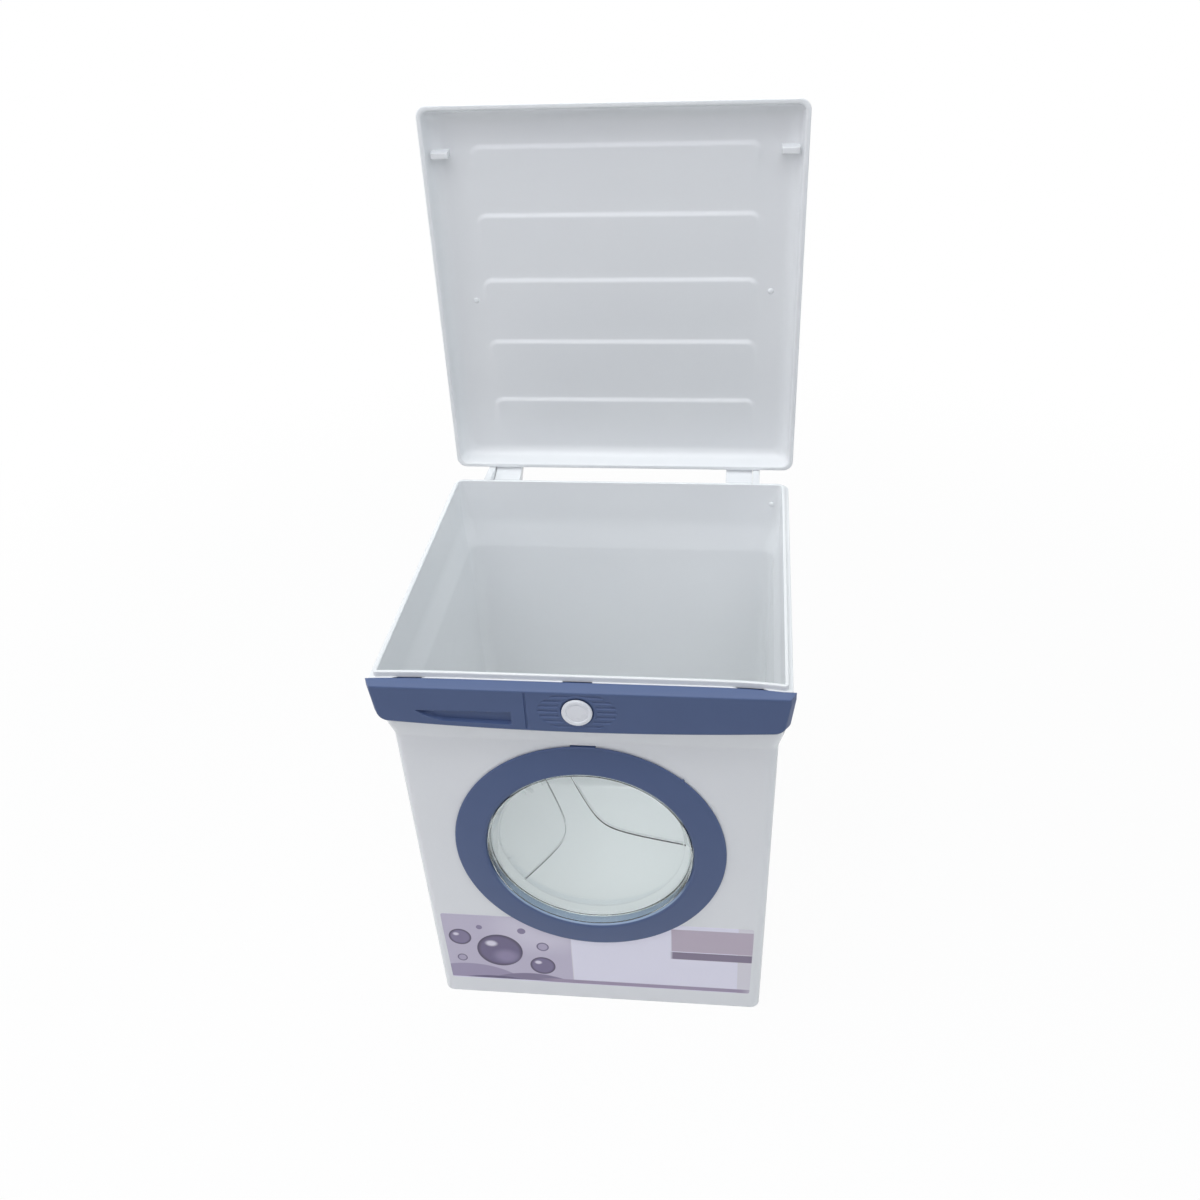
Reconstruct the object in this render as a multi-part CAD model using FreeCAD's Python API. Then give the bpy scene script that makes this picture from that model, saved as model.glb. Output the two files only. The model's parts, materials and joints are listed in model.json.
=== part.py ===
"""Laundry detergent storage box in the shape of a front-loading washing machine.

Frame: millimetres, origin at the middle of the base's underside, +Z up, front towards -Y.
The box is written in its rest pose, with the lid open on its stop. The lid is modelled closed and
then turned about its hinge, so that both poses come from one set of sizes.
"""
import FreeCAD, Part

import math
import os

from FreeCAD import Placement, Rotation, Vector

# ---------------------------------------------------------------- driving dimensions, mm
WALL = 2.0
FLOOR = 2.5

# Tub: half width along X, front Y and back Y at each height of the outer skin.
BASE = (93.8, -94.6, 94.2)
SHOULDER_Z = 200.0
SHOULDER = (97.2, -97.2, 97.4)
BAND_Z = 213.0
BAND = (100.4, -101.0, 100.4)
LEDGE_Z = 240.0
LEDGE = (102.4, -103.2, 104.8)
LEDGE_THICK = 2.2
LEDGE_FRONT_R = 1.0
LEDGE_BACK_R = 6.5
BAND_TOP = (100.8, -102.6, 100.8)
UPSTAND = (100.2, -102.5, 99.7)
UPSTAND_RISE = 3.0
UPSTAND_WALL = 1.8
EDGE_R = 5.0
FOOT_R = 1.5

# Control panel on the front of the band.
PANEL_HALF_W = 104.0
PANEL_FRONT_Y = -107.2
PANEL_BACK_Y = -98.0
PANEL_SKIN = 1.8
PANEL_DROP = 1.2
PANEL_END_BEVEL = 2.6
PANEL_END_TAPER = 1.8
PANEL_END_STRAIGHT = 4.0
PANEL_END_Z = 217.7
PANEL_CORNER_R = 5.5
PANEL_SAG = 3.1
PANEL_STEP = 0.6
UNDER_LEDGE_Z = LEDGE_Z - LEDGE_THICK - 0.1

DRAWER_LINE_X = -25.2
DRAWER_LINE_W = 0.8
GRIP_TIP = (-79.6, 224.4)
GRIP_BEND = (-73.3, 220.7)
GRIP_HEEL = (-66.5, 218.9)
GRIP_RIGHT_X = -32.8
GRIP_RIGHT_Z = (217.8, 224.9)
GRIP_DEEP = 2.2

KNOB_AT = (0.0, 226.8)
KNOB_R = 7.5
KNOB_PROUD = 2.2
KNOB_GAP = 0.3
KNOB_STEM_R = 3.0
RUNNING_CLEARANCE = 0.08
GROOVE_FIELD_R = 19.2
GROOVE_PITCH = 3.0
GROOVE_COUNT = 7
GROOVE_W = 1.3
GROOVE_DEEP = 0.6

# Snap-fit slots along the front of the ledge, and at the top of the door ring.
SLOT_W = 14.5
SLOT_X = (-83.4, 0.0, 83.4)
HOOK_W = 13.0

# Door: a ring, and a clear bowl clamped behind it, square to the tilted front face.
DOOR_Z = 124.4
DOOR_R = 73.0
DOOR_HOLE_R = 55.6
DOOR_EDGE = 0.8
DOOR_PROUD = 3.6
WINDOW_R = 57.2
# Each hook of the ring: its angle from the top, and the radius of its inner face.
RING_HOOKS = ((0.0, 71.6), (90.0, 66.0), (180.0, 66.0), (270.0, 66.0))
BOWL_FLANGE_R = 61.0
BOWL_MOUTH_R = 55.4
BOWL_FACE_R = 50.6
BOWL_DEEP = 6.8
BOWL_WALL = 1.3

# Front label, a film that stops short of the door ring.
LABEL_LOW = (87.8, 13.0)
LABEL_HIGH = (89.2, 68.0)
LABEL_THICK = 0.15
LABEL_RING_GAP = 0.3
LABEL_CORNER_R = 1.6

# Lid, in its closed pose.
LID_REST = 0.2
LID = (105.4, -108.0, 105.6)
LID_DEEP = 10.5
LID_SKIN = 1.8
LID_LIP = 2.6
LID_R = 6.0
LOUVER_HALF_W = 78.8
LOUVER_FIRST = 42.0
LOUVER_PITCH = 37.0
LOUVER_COUNT = 5
LOUVER_RISE = 1.5
LOUVER_RUN = 33.0
TAB_FROM_FRONT = 28.2
TAB_INNER_X = 90.5
TAB_TIP = 4.4
TAB_ROOT = 7.0
TAB_DROP = 3.2

# Hinge: ears on the tub carry stub pins, and knuckles on the lid turn on them.
HINGE_Y = 114.4
HINGE_Z = 229.8
HINGE_PIN_R = 2.5
KNUCKLE_R = 5.3
KNUCKLE_X = (64.5, 80.6)
EAR_X = (81.0, 85.2)
EAR_TIP_Y = 132.0
STOP_GAP = 0.2
LID_OPEN_DEG = 90.0


# ---------------------------------------------------------------- shape helpers
def rounded_loop(section, radius, z, back_radius=None):
    """Closed wire at height z: a rectangle with corners of one radius, or two for front and back."""
    half_x, front, back = section
    front_r = radius
    back_r = radius if back_radius is None else back_radius
    corners = (
        (half_x, front, front_r, -90.0),
        (half_x, back, back_r, 0.0),
        (-half_x, back, back_r, 90.0),
        (-half_x, front, front_r, 180.0),
    )
    arcs = []
    for x, y, r, start in corners:
        centre = Vector(x - math.copysign(r, x), y + (r if y == front else -r), z)
        points = [point_at(centre, r, start + turn) for turn in (0.0, 45.0, 90.0)]
        arcs.append(Part.Arc(*points).toShape())
    edges = []
    for arc, following in zip(arcs, arcs[1:] + arcs[:1]):
        edges.append(arc)
        edges.append(Part.makeLine(arc.Vertexes[-1].Point, following.Vertexes[0].Point))
    return Part.Wire(edges)


def point_at(centre, radius, degrees):
    """Point on a level circle, at an angle from +X."""
    turn = math.radians(degrees)
    return centre + Vector(radius * math.cos(turn), radius * math.sin(turn), 0.0)


def inset(section, amount):
    """Section moved inwards on all four sides."""
    half_x, front, back = section
    return (half_x - amount, front + amount, back - amount)


def tower(levels):
    """Solid with straight sides between the given (section, radius, z) levels."""
    loops = [rounded_loop(section, radius, z) for section, radius, z in levels]
    return Part.makeLoft(loops, True, True)


def block(x, y, z):
    """Box from three (low, high) pairs."""
    corner = Vector(x[0], y[0], z[0])
    return Part.makeBox(x[1] - x[0], y[1] - y[0], z[1] - z[0], corner)


def plate_yz(outline, x):
    """Solid from an outline of (y, z) points, between two X values."""
    points = [Vector(x[0], y, z) for y, z in outline]
    face = Part.Face(Part.makePolygon(points + points[:1]))
    return face.extrude(Vector(x[1] - x[0], 0.0, 0.0))


def turned(profile):
    """Solid of revolution about Z from (radius, height) points."""
    points = [Vector(r, 0.0, h) for r, h in profile]
    face = Part.Face(Part.makePolygon(points + points[:1]))
    return face.revolve(Vector(0, 0, 0), Vector(0, 0, 1), 360.0)


def rod_x(radius, x, y, z):
    """Cylinder along X between two X values."""
    return Part.makeCylinder(radius, x[1] - x[0], Vector(x[0], y, z), Vector(1, 0, 0))


def rod_y(radius, x, y, z):
    """Cylinder along Y between two Y values."""
    return Part.makeCylinder(radius, y[1] - y[0], Vector(x, y[0], z), Vector(0, 1, 0))


def both_sides(shape):
    """Shape and its mirror image in the plane X = 0."""
    return [shape, shape.mirror(Vector(0, 0, 0), Vector(1, 0, 0))]


def rounded_edges(shape, radius, wanted):
    """Shape with a fillet on each edge whose middle passes the test."""
    edges = [edge for edge in shape.Edges if wanted(edge)]
    return shape.makeFillet(radius, edges)


# ---------------------------------------------------------------- the tilted front face
FACE_TILT = math.degrees(math.atan2(BASE[1] - SHOULDER[1], SHOULDER_Z))


def front_y(z):
    """Y of the tub's front face at height z, below the shoulder."""
    return BASE[1] + (SHOULDER[1] - BASE[1]) * z / SHOULDER_Z


def on_front(shape):
    """Moves a shape from the XY plane onto the front face, its +Z pointing out at the door's centre."""
    face = Placement(Vector(0.0, front_y(DOOR_Z), DOOR_Z), Rotation(Vector(1, 0, 0), 90.0 + FACE_TILT))
    shape.Placement = face.multiply(shape.Placement)
    return shape


def round_door(shape, degrees):
    """Shape turned about the door's axis, before it goes onto the front face."""
    return shape.rotated(Vector(0, 0, 0), Vector(0, 0, 1), degrees)


# ---------------------------------------------------------------- tub
def tub_outside():
    """Outer form of the tub up to the underside of its ledge, as one solid."""
    top = LEDGE_Z - LEDGE_THICK
    levels = [
        (BASE, EDGE_R, 0.0),
        (SHOULDER, EDGE_R, SHOULDER_Z),
        (BAND, EDGE_R, BAND_Z),
        (BAND_TOP, EDGE_R, top),
    ]
    body = tower(levels)
    return rounded_edges(body, FOOT_R, lambda edge: edge.BoundBox.ZMax < 0.01)


def tub_inside():
    """Hollow of the tub: the form that is taken out of it."""
    inner_r = EDGE_R - WALL
    mouth = inset(UPSTAND, UPSTAND_WALL)
    levels = [
        (inset(BASE, WALL + 0.2), inner_r, FLOOR),
        (inset(SHOULDER, WALL + 0.3), inner_r, SHOULDER_Z - 1.0),
        ((97.9, -98.9, 97.6), inner_r, BAND_Z + 3.0),
        (mouth, inner_r, LEDGE_Z + UPSTAND_RISE + 1.0),
    ]
    return tower(levels)


def ledge():
    """Flat ledge around the mouth: square front corners, round back corners."""
    outline = rounded_loop(LEDGE, LEDGE_FRONT_R, LEDGE_Z - LEDGE_THICK, LEDGE_BACK_R)
    return Part.Face(outline).extrude(Vector(0, 0, LEDGE_THICK))


def upstand():
    """Low wall around the mouth that the lid's skirt drops over."""
    outline = rounded_loop(UPSTAND, EDGE_R, LEDGE_Z - LEDGE_THICK)
    wall = Part.Face(outline).extrude(Vector(0, 0, LEDGE_THICK + UPSTAND_RISE))
    rim = LEDGE_Z + UPSTAND_RISE - 0.01
    return rounded_edges(wall, 0.6, lambda edge: edge.BoundBox.ZMin > rim)


def hinge_ear():
    """Right-hand ear: a gusset behind the ledge whose tip is the open lid's stop."""
    stop_z = HINGE_Z + (HINGE_Y - LID[2]) - STOP_GAP
    stop_y = HINGE_Y + (LEDGE_Z + LID_REST - HINGE_Z)
    wall_y = BAND_TOP[2] - 0.6
    outline = (
        (wall_y, LEDGE_Z - LEDGE_THICK + 0.5),
        (LEDGE[2] - 1.0, LEDGE_Z - 0.4),
        (LEDGE[2] + 1.0, LEDGE_Z - 0.4),
        (stop_y - 1.5, stop_z),
        (EAR_TIP_Y, stop_z),
        (EAR_TIP_Y, stop_z - 3.0),
        (HINGE_Y + 2.0, HINGE_Z - 7.5),
        (wall_y, HINGE_Z - 18.0),
    )
    ear = plate_yz(outline, EAR_X)
    tip = EAR_TIP_Y - 0.01
    ear = rounded_edges(ear, 1.2, lambda edge: edge.BoundBox.YMin > tip and edge.BoundBox.XLength > 1.0)
    pin = rod_x(HINGE_PIN_R, (KNUCKLE_X[0] - 0.8, EAR_X[0] + 0.5), HINGE_Y, HINGE_Z)
    return ear.fuse(pin)


def panel_slots():
    """Notches in the ledge's front edge that the panel's clips drop through."""
    deep = 1.2
    high = 8.0
    notches = []
    for x in SLOT_X:
        across = (x - SLOT_W / 2, x + SLOT_W / 2)
        along = (LEDGE[1] - 0.5, LEDGE[1] + deep)
        notches.append(block(across, along, (LEDGE_Z - high, LEDGE_Z + 0.5)))
    return notches


def ring_slots():
    """Slots through the front wall for the door ring's four hooks, seen from the front."""
    slots = []
    for degrees, radius in RING_HOOKS:
        slot = block((-SLOT_W / 2, SLOT_W / 2), (radius - 0.3, radius + 2.4), (-6.0, 6.0))
        slots.append(on_front(round_door(slot, degrees)))
    return slots


def make_tub():
    """White tub: floor, tapered walls, shoulder, ledge, upstand and hinge ears in one moulding."""
    body = tub_outside().fuse([ledge(), upstand()])
    body = body.cut(tub_inside())
    window = Part.makeCylinder(WINDOW_R, 20.0, Vector(0, 0, -10.0))
    body = body.cut([on_front(window)] + panel_slots() + ring_slots())
    return body.fuse(both_sides(hinge_ear())).removeSplitter()


# ---------------------------------------------------------------- control panel and knob
def panel_loop(y, side_in, top_z, bottom_up):
    """Panel outline at depth y: straight top, ends that taper, round corners, bowed lower edge."""
    top_x = PANEL_HALF_W - side_in
    low_x = top_x - PANEL_END_TAPER
    end_z = PANEL_END_Z + bottom_up
    r = PANEL_CORNER_R
    bend = r * (1.0 - math.sqrt(0.5))
    right = (
        Vector(top_x, y, top_z),
        Vector(top_x, y, top_z - PANEL_END_STRAIGHT),
        Vector(low_x, y, end_z + r),
        Vector(low_x - bend, y, end_z + bend),
        Vector(low_x - r, y, end_z),
    )
    left = [Vector(-p.x, p.y, p.z) for p in right]
    edges = [
        Part.makeLine(left[0], right[0]),
        Part.makeLine(right[0], right[1]),
        Part.makeLine(right[1], right[2]),
        Part.Arc(right[2], right[3], right[4]).toShape(),
        Part.Arc(right[4], Vector(0, y, end_z - PANEL_SAG), left[4]).toShape(),
        Part.Arc(left[4], left[3], left[2]).toShape(),
        Part.makeLine(left[2], left[1]),
        Part.makeLine(left[1], left[0]),
    ]
    return Part.Wire(edges)


def panel_block():
    """Solid form of the panel: bevelled front part, and a skirt that runs back under the ledge."""
    back_loop = panel_loop(LEDGE[1], 0.0, LEDGE_Z, 0.0)
    front_loop = panel_loop(PANEL_FRONT_Y, PANEL_END_BEVEL, LEDGE_Z - PANEL_DROP, 0.0)
    front = Part.makeLoft([back_loop, front_loop], True, True)
    skirt_loop = panel_loop(LEDGE[1], PANEL_HALF_W - LEDGE[0] + 0.2, UNDER_LEDGE_Z, PANEL_STEP)
    skirt = Part.Face(skirt_loop).extrude(Vector(0, PANEL_BACK_Y - LEDGE[1], 0))
    return front.fuse(skirt)


def panel_hollow():
    """Room behind the panel's skin."""
    top = UNDER_LEDGE_Z - PANEL_SKIN
    loop = panel_loop(PANEL_FRONT_Y + PANEL_SKIN, PANEL_END_BEVEL + PANEL_SKIN, top, PANEL_SKIN)
    return Part.Face(loop).extrude(Vector(0, PANEL_BACK_Y - PANEL_FRONT_Y, 0))


def grip_outline(y, grow):
    """Boat-shaped outline of the drawer grip: a pointed bow on the left, square on the right."""
    low_z, high_z = GRIP_RIGHT_Z
    tip = Vector(GRIP_TIP[0] - grow, y, GRIP_TIP[1] + grow)
    top_right = Vector(GRIP_RIGHT_X + grow, y, high_z + grow)
    low_right = Vector(GRIP_RIGHT_X + grow, y, low_z - grow)
    heel = Vector(GRIP_HEEL[0], y, GRIP_HEEL[1] - grow)
    bend = Vector(GRIP_BEND[0] - grow / 2, y, GRIP_BEND[1] - grow)
    edges = [
        Part.makeLine(tip, top_right),
        Part.makeLine(top_right, low_right),
        Part.makeLine(low_right, heel),
        Part.Arc(heel, bend, tip).toShape(),
    ]
    return Part.Wire(edges)


def groove_lines():
    """Level grooves either side of the knob, kept inside a round field."""
    x, z = KNOB_AT
    middle = PANEL_FRONT_Y + GROOVE_DEEP
    deep = (PANEL_FRONT_Y - 1.0, middle)
    half = (GROOVE_COUNT - 1) / 2
    bars = []
    for index in range(GROOVE_COUNT):
        level = z + (index - half) * GROOVE_PITCH
        high = (level - GROOVE_W / 2, level + GROOVE_W / 2)
        bars.append(block((x - GROOVE_FIELD_R, x + GROOVE_FIELD_R), deep, high))
    field = rod_y(GROOVE_FIELD_R, x, deep, z)
    land = rod_y(KNOB_R + 0.8, x, (deep[0] - 1.0, deep[1] + 1.0), z)
    return [bar.common(field).cut(land) for bar in bars]


def panel_clips():
    """Ribs inside the panel that snap under the front of the ledge."""
    skin_y = PANEL_FRONT_Y + PANEL_SKIN - 0.3
    clips = []
    for x in SLOT_X:
        across = (x - HOOK_W / 2, x + HOOK_W / 2)
        clips.append(block(across, (skin_y, LEDGE[1] + 0.1), (UNDER_LEDGE_Z - 4.0, UNDER_LEDGE_Z)))
    return clips


def make_panel():
    """Blue control panel with its drawer grip, drawer line, groove field and knob hole."""
    knob_x, knob_z = KNOB_AT
    outside = PANEL_FRONT_Y - 1.0
    behind_face = PANEL_FRONT_Y + 1.0
    backing = Part.Face(grip_outline(behind_face, 1.4)).extrude(Vector(0, GRIP_DEEP + 0.2, 0))
    boss = rod_y(KNOB_STEM_R + 2.0, knob_x, (behind_face, PANEL_FRONT_Y + 3.0), knob_z)
    panel = panel_block().cut(panel_hollow()).fuse([backing, boss] + panel_clips())
    pocket = Part.Face(grip_outline(outside, 0.0)).extrude(Vector(0, GRIP_DEEP + 1.0, 0))
    line_x = (DRAWER_LINE_X - DRAWER_LINE_W / 2, DRAWER_LINE_X + DRAWER_LINE_W / 2)
    line = block(line_x, (outside, PANEL_FRONT_Y + GROOVE_DEEP), (BAND_Z, LEDGE_Z))
    hole = rod_y(KNOB_STEM_R + RUNNING_CLEARANCE, knob_x, (outside, PANEL_FRONT_Y + 5.0), knob_z)
    panel = panel.cut([pocket, line, hole] + groove_lines())
    return panel.cut(tub_outside().fuse(ledge())).removeSplitter()


def make_knob():
    """White cap that turns in the panel: dished face, stem, and a snap ring behind the skin."""
    behind = KNOB_GAP + 3.0
    profile = (
        (0.0, KNOB_PROUD - 0.7),
        (KNOB_R * 0.66, KNOB_PROUD - 0.7),
        (KNOB_R * 0.72, KNOB_PROUD),
        (KNOB_R - 0.9, KNOB_PROUD),
        (KNOB_R, KNOB_PROUD - 0.9),
        (KNOB_R, KNOB_GAP),
        (KNOB_STEM_R, KNOB_GAP),
        (KNOB_STEM_R, -behind),
        (KNOB_STEM_R + 0.45, -behind - 0.5),
        (KNOB_STEM_R - 0.4, -behind - 1.2),
        (0.0, -behind - 1.2),
    )
    knob = turned(profile)
    knob.Placement = Placement(
        Vector(KNOB_AT[0], PANEL_FRONT_Y, KNOB_AT[1]),
        Rotation(Vector(1, 0, 0), 90.0),
    )
    return knob


# ---------------------------------------------------------------- door
def make_door_ring():
    """Blue ring: a cone that rises to its inner edge, with four hooks through the front wall."""
    rim = DOOR_PROUD
    lip_foot = BOWL_WALL
    profile = (
        (DOOR_R - 2.6, 0.0),
        (DOOR_R, 0.0),
        (DOOR_R, DOOR_EDGE),
        (DOOR_R - 0.6, DOOR_EDGE + 0.5),
        (DOOR_HOLE_R + 1.6, rim),
        (DOOR_HOLE_R + 0.4, rim - 0.2),
        (DOOR_HOLE_R, rim - 0.7),
        (DOOR_HOLE_R, lip_foot),
        (DOOR_HOLE_R + 1.6, lip_foot),
        (DOOR_HOLE_R + 1.6, rim - 1.6),
    )
    ring = turned(profile)
    for degrees, radius in RING_HOOKS:
        leg = block((-HOOK_W / 2, HOOK_W / 2), (radius, radius + 1.2), (-5.5, 0.6))
        barb = block((-HOOK_W / 2, HOOK_W / 2), (radius + 1.2, radius + 1.9), (-5.0, -3.2))
        ring = ring.fuse(round_door(leg.fuse(barb), degrees))
    return on_front(ring.removeSplitter())


def make_window_bowl():
    """Clear bowl: a flange under the ring, a sloping wall and a flat window set into the tub."""
    inner = BOWL_FACE_R + 1.0
    profile = (
        (0.0, -BOWL_DEEP),
        (BOWL_FACE_R, -BOWL_DEEP),
        (BOWL_MOUTH_R, BOWL_WALL),
        (BOWL_FLANGE_R, BOWL_WALL),
        (BOWL_FLANGE_R, 0.0),
        (BOWL_MOUTH_R + 1.2, 0.0),
        (inner, -BOWL_DEEP - BOWL_WALL),
        (0.0, -BOWL_DEEP - BOWL_WALL),
    )
    return on_front(turned(profile))


def make_label():
    """Printed film on the lower front face, cut away round the door ring."""
    low_x, low_z = LABEL_LOW
    high_x, high_z = LABEL_HIGH
    low = low_z - DOOR_Z
    high = high_z - DOOR_Z
    outline = ((-low_x, low), (low_x, low), (high_x, high), (-high_x, high))
    corners = [Vector(x, y, 0.0) for x, y in outline]
    film = Part.Face(Part.makePolygon(corners + corners[:1])).extrude(Vector(0, 0, LABEL_THICK))
    film = rounded_edges(film, LABEL_CORNER_R, lambda edge: edge.BoundBox.ZLength > LABEL_THICK / 2)
    clear = Part.makeCylinder(DOOR_R + LABEL_RING_GAP, 4.0, Vector(0, 0, -2.0))
    return on_front(film.cut(clear))


# ---------------------------------------------------------------- lid
def lid_shell():
    """Lid in its closed pose: flat top, rounded shoulders and a skirt, open below."""
    rim = LEDGE_Z + LID_REST
    top = LID_DEEP + LID_SKIN
    outer_levels = ((0.0, 0.0), (1.1, 6.0), (2.0, 8.6), (3.6, 10.6), (5.8, 11.8), (8.6, top))
    inner_levels = ((LID_LIP, -1.0), (LID_LIP + 1.2, 5.2), (LID_LIP + 2.2, 7.6), (LID_LIP + 4.0, 9.4),
                    (LID_LIP + 6.6, LID_DEEP))
    outside = tower([(inset(LID, side), LID_R, rim + z) for side, z in outer_levels])
    inside = tower([(inset(LID, side), LID_R - LID_LIP + 1.0, rim + z) for side, z in inner_levels])
    return outside.cut(inside)


def louver(index, plate_z):
    """Wedge of one louver step, from its ridge down to nothing, on the plane at plate_z."""
    ridge_y = LID[2] - LOUVER_FIRST - index * LOUVER_PITCH
    outline = ((ridge_y, plate_z), (ridge_y, plate_z - LOUVER_RISE), (ridge_y + LOUVER_RUN, plate_z))
    return plate_yz(outline, (-LOUVER_HALF_W, LOUVER_HALF_W))


def louvers():
    """Wedges added inside the plate, and the matching ones taken out of its top."""
    under_z = LEDGE_Z + LID_REST + LID_DEEP
    added = [louver(index, under_z) for index in range(LOUVER_COUNT)]
    taken = [louver(index, under_z + LID_SKIN) for index in range(LOUVER_COUNT)]
    return added, taken


def skirt_tab():
    """Right-hand tab in the corner of the skirt and plate: the closed lid rests on its blunt tip."""
    rim = LEDGE_Z + LID_REST
    back_y = LID[1] + TAB_FROM_FRONT
    root_z = rim + LID_DEEP + 0.5
    outline = (
        (back_y, rim + TAB_DROP),
        (back_y, root_z),
        (back_y - TAB_ROOT, root_z),
        (back_y - TAB_TIP, rim + TAB_DROP),
    )
    return plate_yz(outline, (TAB_INNER_X, LID[0] - LID_LIP + 0.6))


def knuckle():
    """Right-hand hinge knuckle: a bored barrel joined to the lid's rear skirt by a web."""
    rim = LEDGE_Z + LID_REST
    skirt_y = LID[2] - 1.2
    outline = (
        (skirt_y, rim + 1.2),
        (LID[2] + 0.5, rim + 0.6),
        (HINGE_Y - KNUCKLE_R * 0.93, HINGE_Z + 1.9),
        (HINGE_Y, HINGE_Z),
        (HINGE_Y + 3.4, HINGE_Z + KNUCKLE_R * 0.76),
        (LID[2] + 4.0, rim + 3.4),
        (skirt_y, rim + 5.6),
    )
    web = plate_yz(outline, KNUCKLE_X)
    barrel = rod_x(KNUCKLE_R, KNUCKLE_X, HINGE_Y, HINGE_Z)
    return web.fuse(barrel)


def make_lid():
    """White lid with louver steps, skirt tabs and hinge knuckles, turned to its open pose."""
    added, taken = louvers()
    lid = lid_shell().fuse(added + both_sides(skirt_tab())).cut(taken)
    lid = lid.fuse(both_sides(knuckle()))
    bore_r = HINGE_PIN_R + RUNNING_CLEARANCE
    bore = rod_x(bore_r, (KNUCKLE_X[0] - 1.0, KNUCKLE_X[1] + 1.0), HINGE_Y, HINGE_Z)
    lid = lid.cut(both_sides(bore)).removeSplitter()
    return lid.rotated(Vector(0, HINGE_Y, HINGE_Z), Vector(1, 0, 0), -LID_OPEN_DEG)


# ---------------------------------------------------------------- export
PARTS = {
    "tub": make_tub,
    "lid": make_lid,
    "control_panel": make_panel,
    "program_knob": make_knob,
    "door_ring": make_door_ring,
    "window_bowl": make_window_bowl,
    "front_label": make_label,
}


def main():
    """Builds each part and writes its STEP file."""
    os.makedirs("parts", exist_ok=True)
    for name, make in PARTS.items():
        shape = make()
        print(name, "solids", len(shape.Solids), "valid", shape.isValid(), "volume", round(shape.Volume))
        shape.exportStep("parts/" + name + ".step")


main()
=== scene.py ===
"""Laundry detergent storage box in the shape of a front-loading washing machine, with its lid open.

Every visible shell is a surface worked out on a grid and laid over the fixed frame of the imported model.
Sizes are millimetres in the frame's own axes, +Z up and the front towards -Y, and one place turns them
into metres. The lid is shaped in its closed pose and then turned about its hinge to its open pose.
"""

import json
import logging
import math
from dataclasses import dataclass, field, replace
from enum import Enum
from typing import NamedTuple, Sequence

import bmesh
import bpy
import numpy as np
from mathutils import Matrix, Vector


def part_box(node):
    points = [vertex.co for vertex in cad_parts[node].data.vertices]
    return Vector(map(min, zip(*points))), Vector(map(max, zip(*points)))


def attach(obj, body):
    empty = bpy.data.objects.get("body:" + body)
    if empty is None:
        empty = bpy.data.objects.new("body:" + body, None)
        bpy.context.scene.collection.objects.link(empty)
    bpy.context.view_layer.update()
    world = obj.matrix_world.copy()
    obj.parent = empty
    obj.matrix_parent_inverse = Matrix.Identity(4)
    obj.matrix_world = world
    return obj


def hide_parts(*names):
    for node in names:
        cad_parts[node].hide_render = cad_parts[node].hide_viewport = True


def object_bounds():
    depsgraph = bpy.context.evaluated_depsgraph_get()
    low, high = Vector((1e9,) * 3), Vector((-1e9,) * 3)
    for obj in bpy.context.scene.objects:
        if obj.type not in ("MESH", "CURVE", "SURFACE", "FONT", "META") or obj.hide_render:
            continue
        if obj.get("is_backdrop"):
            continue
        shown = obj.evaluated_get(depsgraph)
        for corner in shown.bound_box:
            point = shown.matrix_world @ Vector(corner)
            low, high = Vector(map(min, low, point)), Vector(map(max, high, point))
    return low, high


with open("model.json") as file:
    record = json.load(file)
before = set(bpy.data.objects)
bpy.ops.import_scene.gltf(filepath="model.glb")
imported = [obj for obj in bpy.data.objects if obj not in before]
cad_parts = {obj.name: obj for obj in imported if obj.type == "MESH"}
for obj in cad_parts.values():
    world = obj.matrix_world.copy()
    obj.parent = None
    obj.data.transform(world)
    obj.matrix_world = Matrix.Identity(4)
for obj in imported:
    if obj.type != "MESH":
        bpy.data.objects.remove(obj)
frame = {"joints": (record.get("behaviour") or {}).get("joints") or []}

log = logging.getLogger("detergent_box")
Array = np.ndarray
MM = 0.001
MERGE = 1e-6
CORNER_TURNS = 7


# ---------------------------------------------------------------- surfaces
@dataclass
class Surface:
    """Points in millimetres, and the four-cornered faces between them."""

    points: Array
    faces: Array

    @classmethod
    def from_grid(cls, grid: Array, around: bool = False, keep: Array | None = None) -> "Surface":
        """Joins neighbouring points of a grid into faces.

        A face looks towards the column direction crossed with the row direction, so loops that run
        anticlockwise and rise from a lower pole face outwards.

        Args:
            grid: points, rows by columns by three.
            around: True where the last column joins the first.
            keep: True for each face that is made, rows by columns of faces; all are made without it.

        Returns:
            The surface.
        """
        rows, columns, _ = grid.shape
        index = np.arange(rows * columns).reshape(rows, columns)
        if around:
            index = np.hstack([index, index[:, :1]])
        corners = [index[:-1, :-1], index[:-1, 1:], index[1:, 1:], index[1:, :-1]]
        faces = np.stack(corners, axis=-1)
        faces = faces.reshape(-1, 4) if keep is None else faces[keep]
        return cls(grid.reshape(-1, 3).astype(float), faces)

    def flipped(self) -> "Surface":
        """The same surface facing the other way."""
        return Surface(self.points, self.faces[:, ::-1])

    def placed(self, matrix: Array) -> "Surface":
        """The surface moved by a 4 by 4 matrix in millimetres."""
        return Surface(self.points @ matrix[:3, :3].T + matrix[:3, 3], self.faces)

    def mirrored(self) -> "Surface":
        """The mirror image in the plane X = 0, still facing outwards."""
        return Surface(self.points * (-1.0, 1.0, 1.0), self.faces[:, ::-1])

    @staticmethod
    def joined(surfaces: Sequence["Surface"]) -> "Surface":
        """Several surfaces as one."""
        starts = np.cumsum([0] + [len(surface.points) for surface in surfaces[:-1]])
        faces = [surface.faces + start for surface, start in zip(surfaces, starts)]
        return Surface(np.vstack([surface.points for surface in surfaces]), np.vstack(faces))


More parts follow.
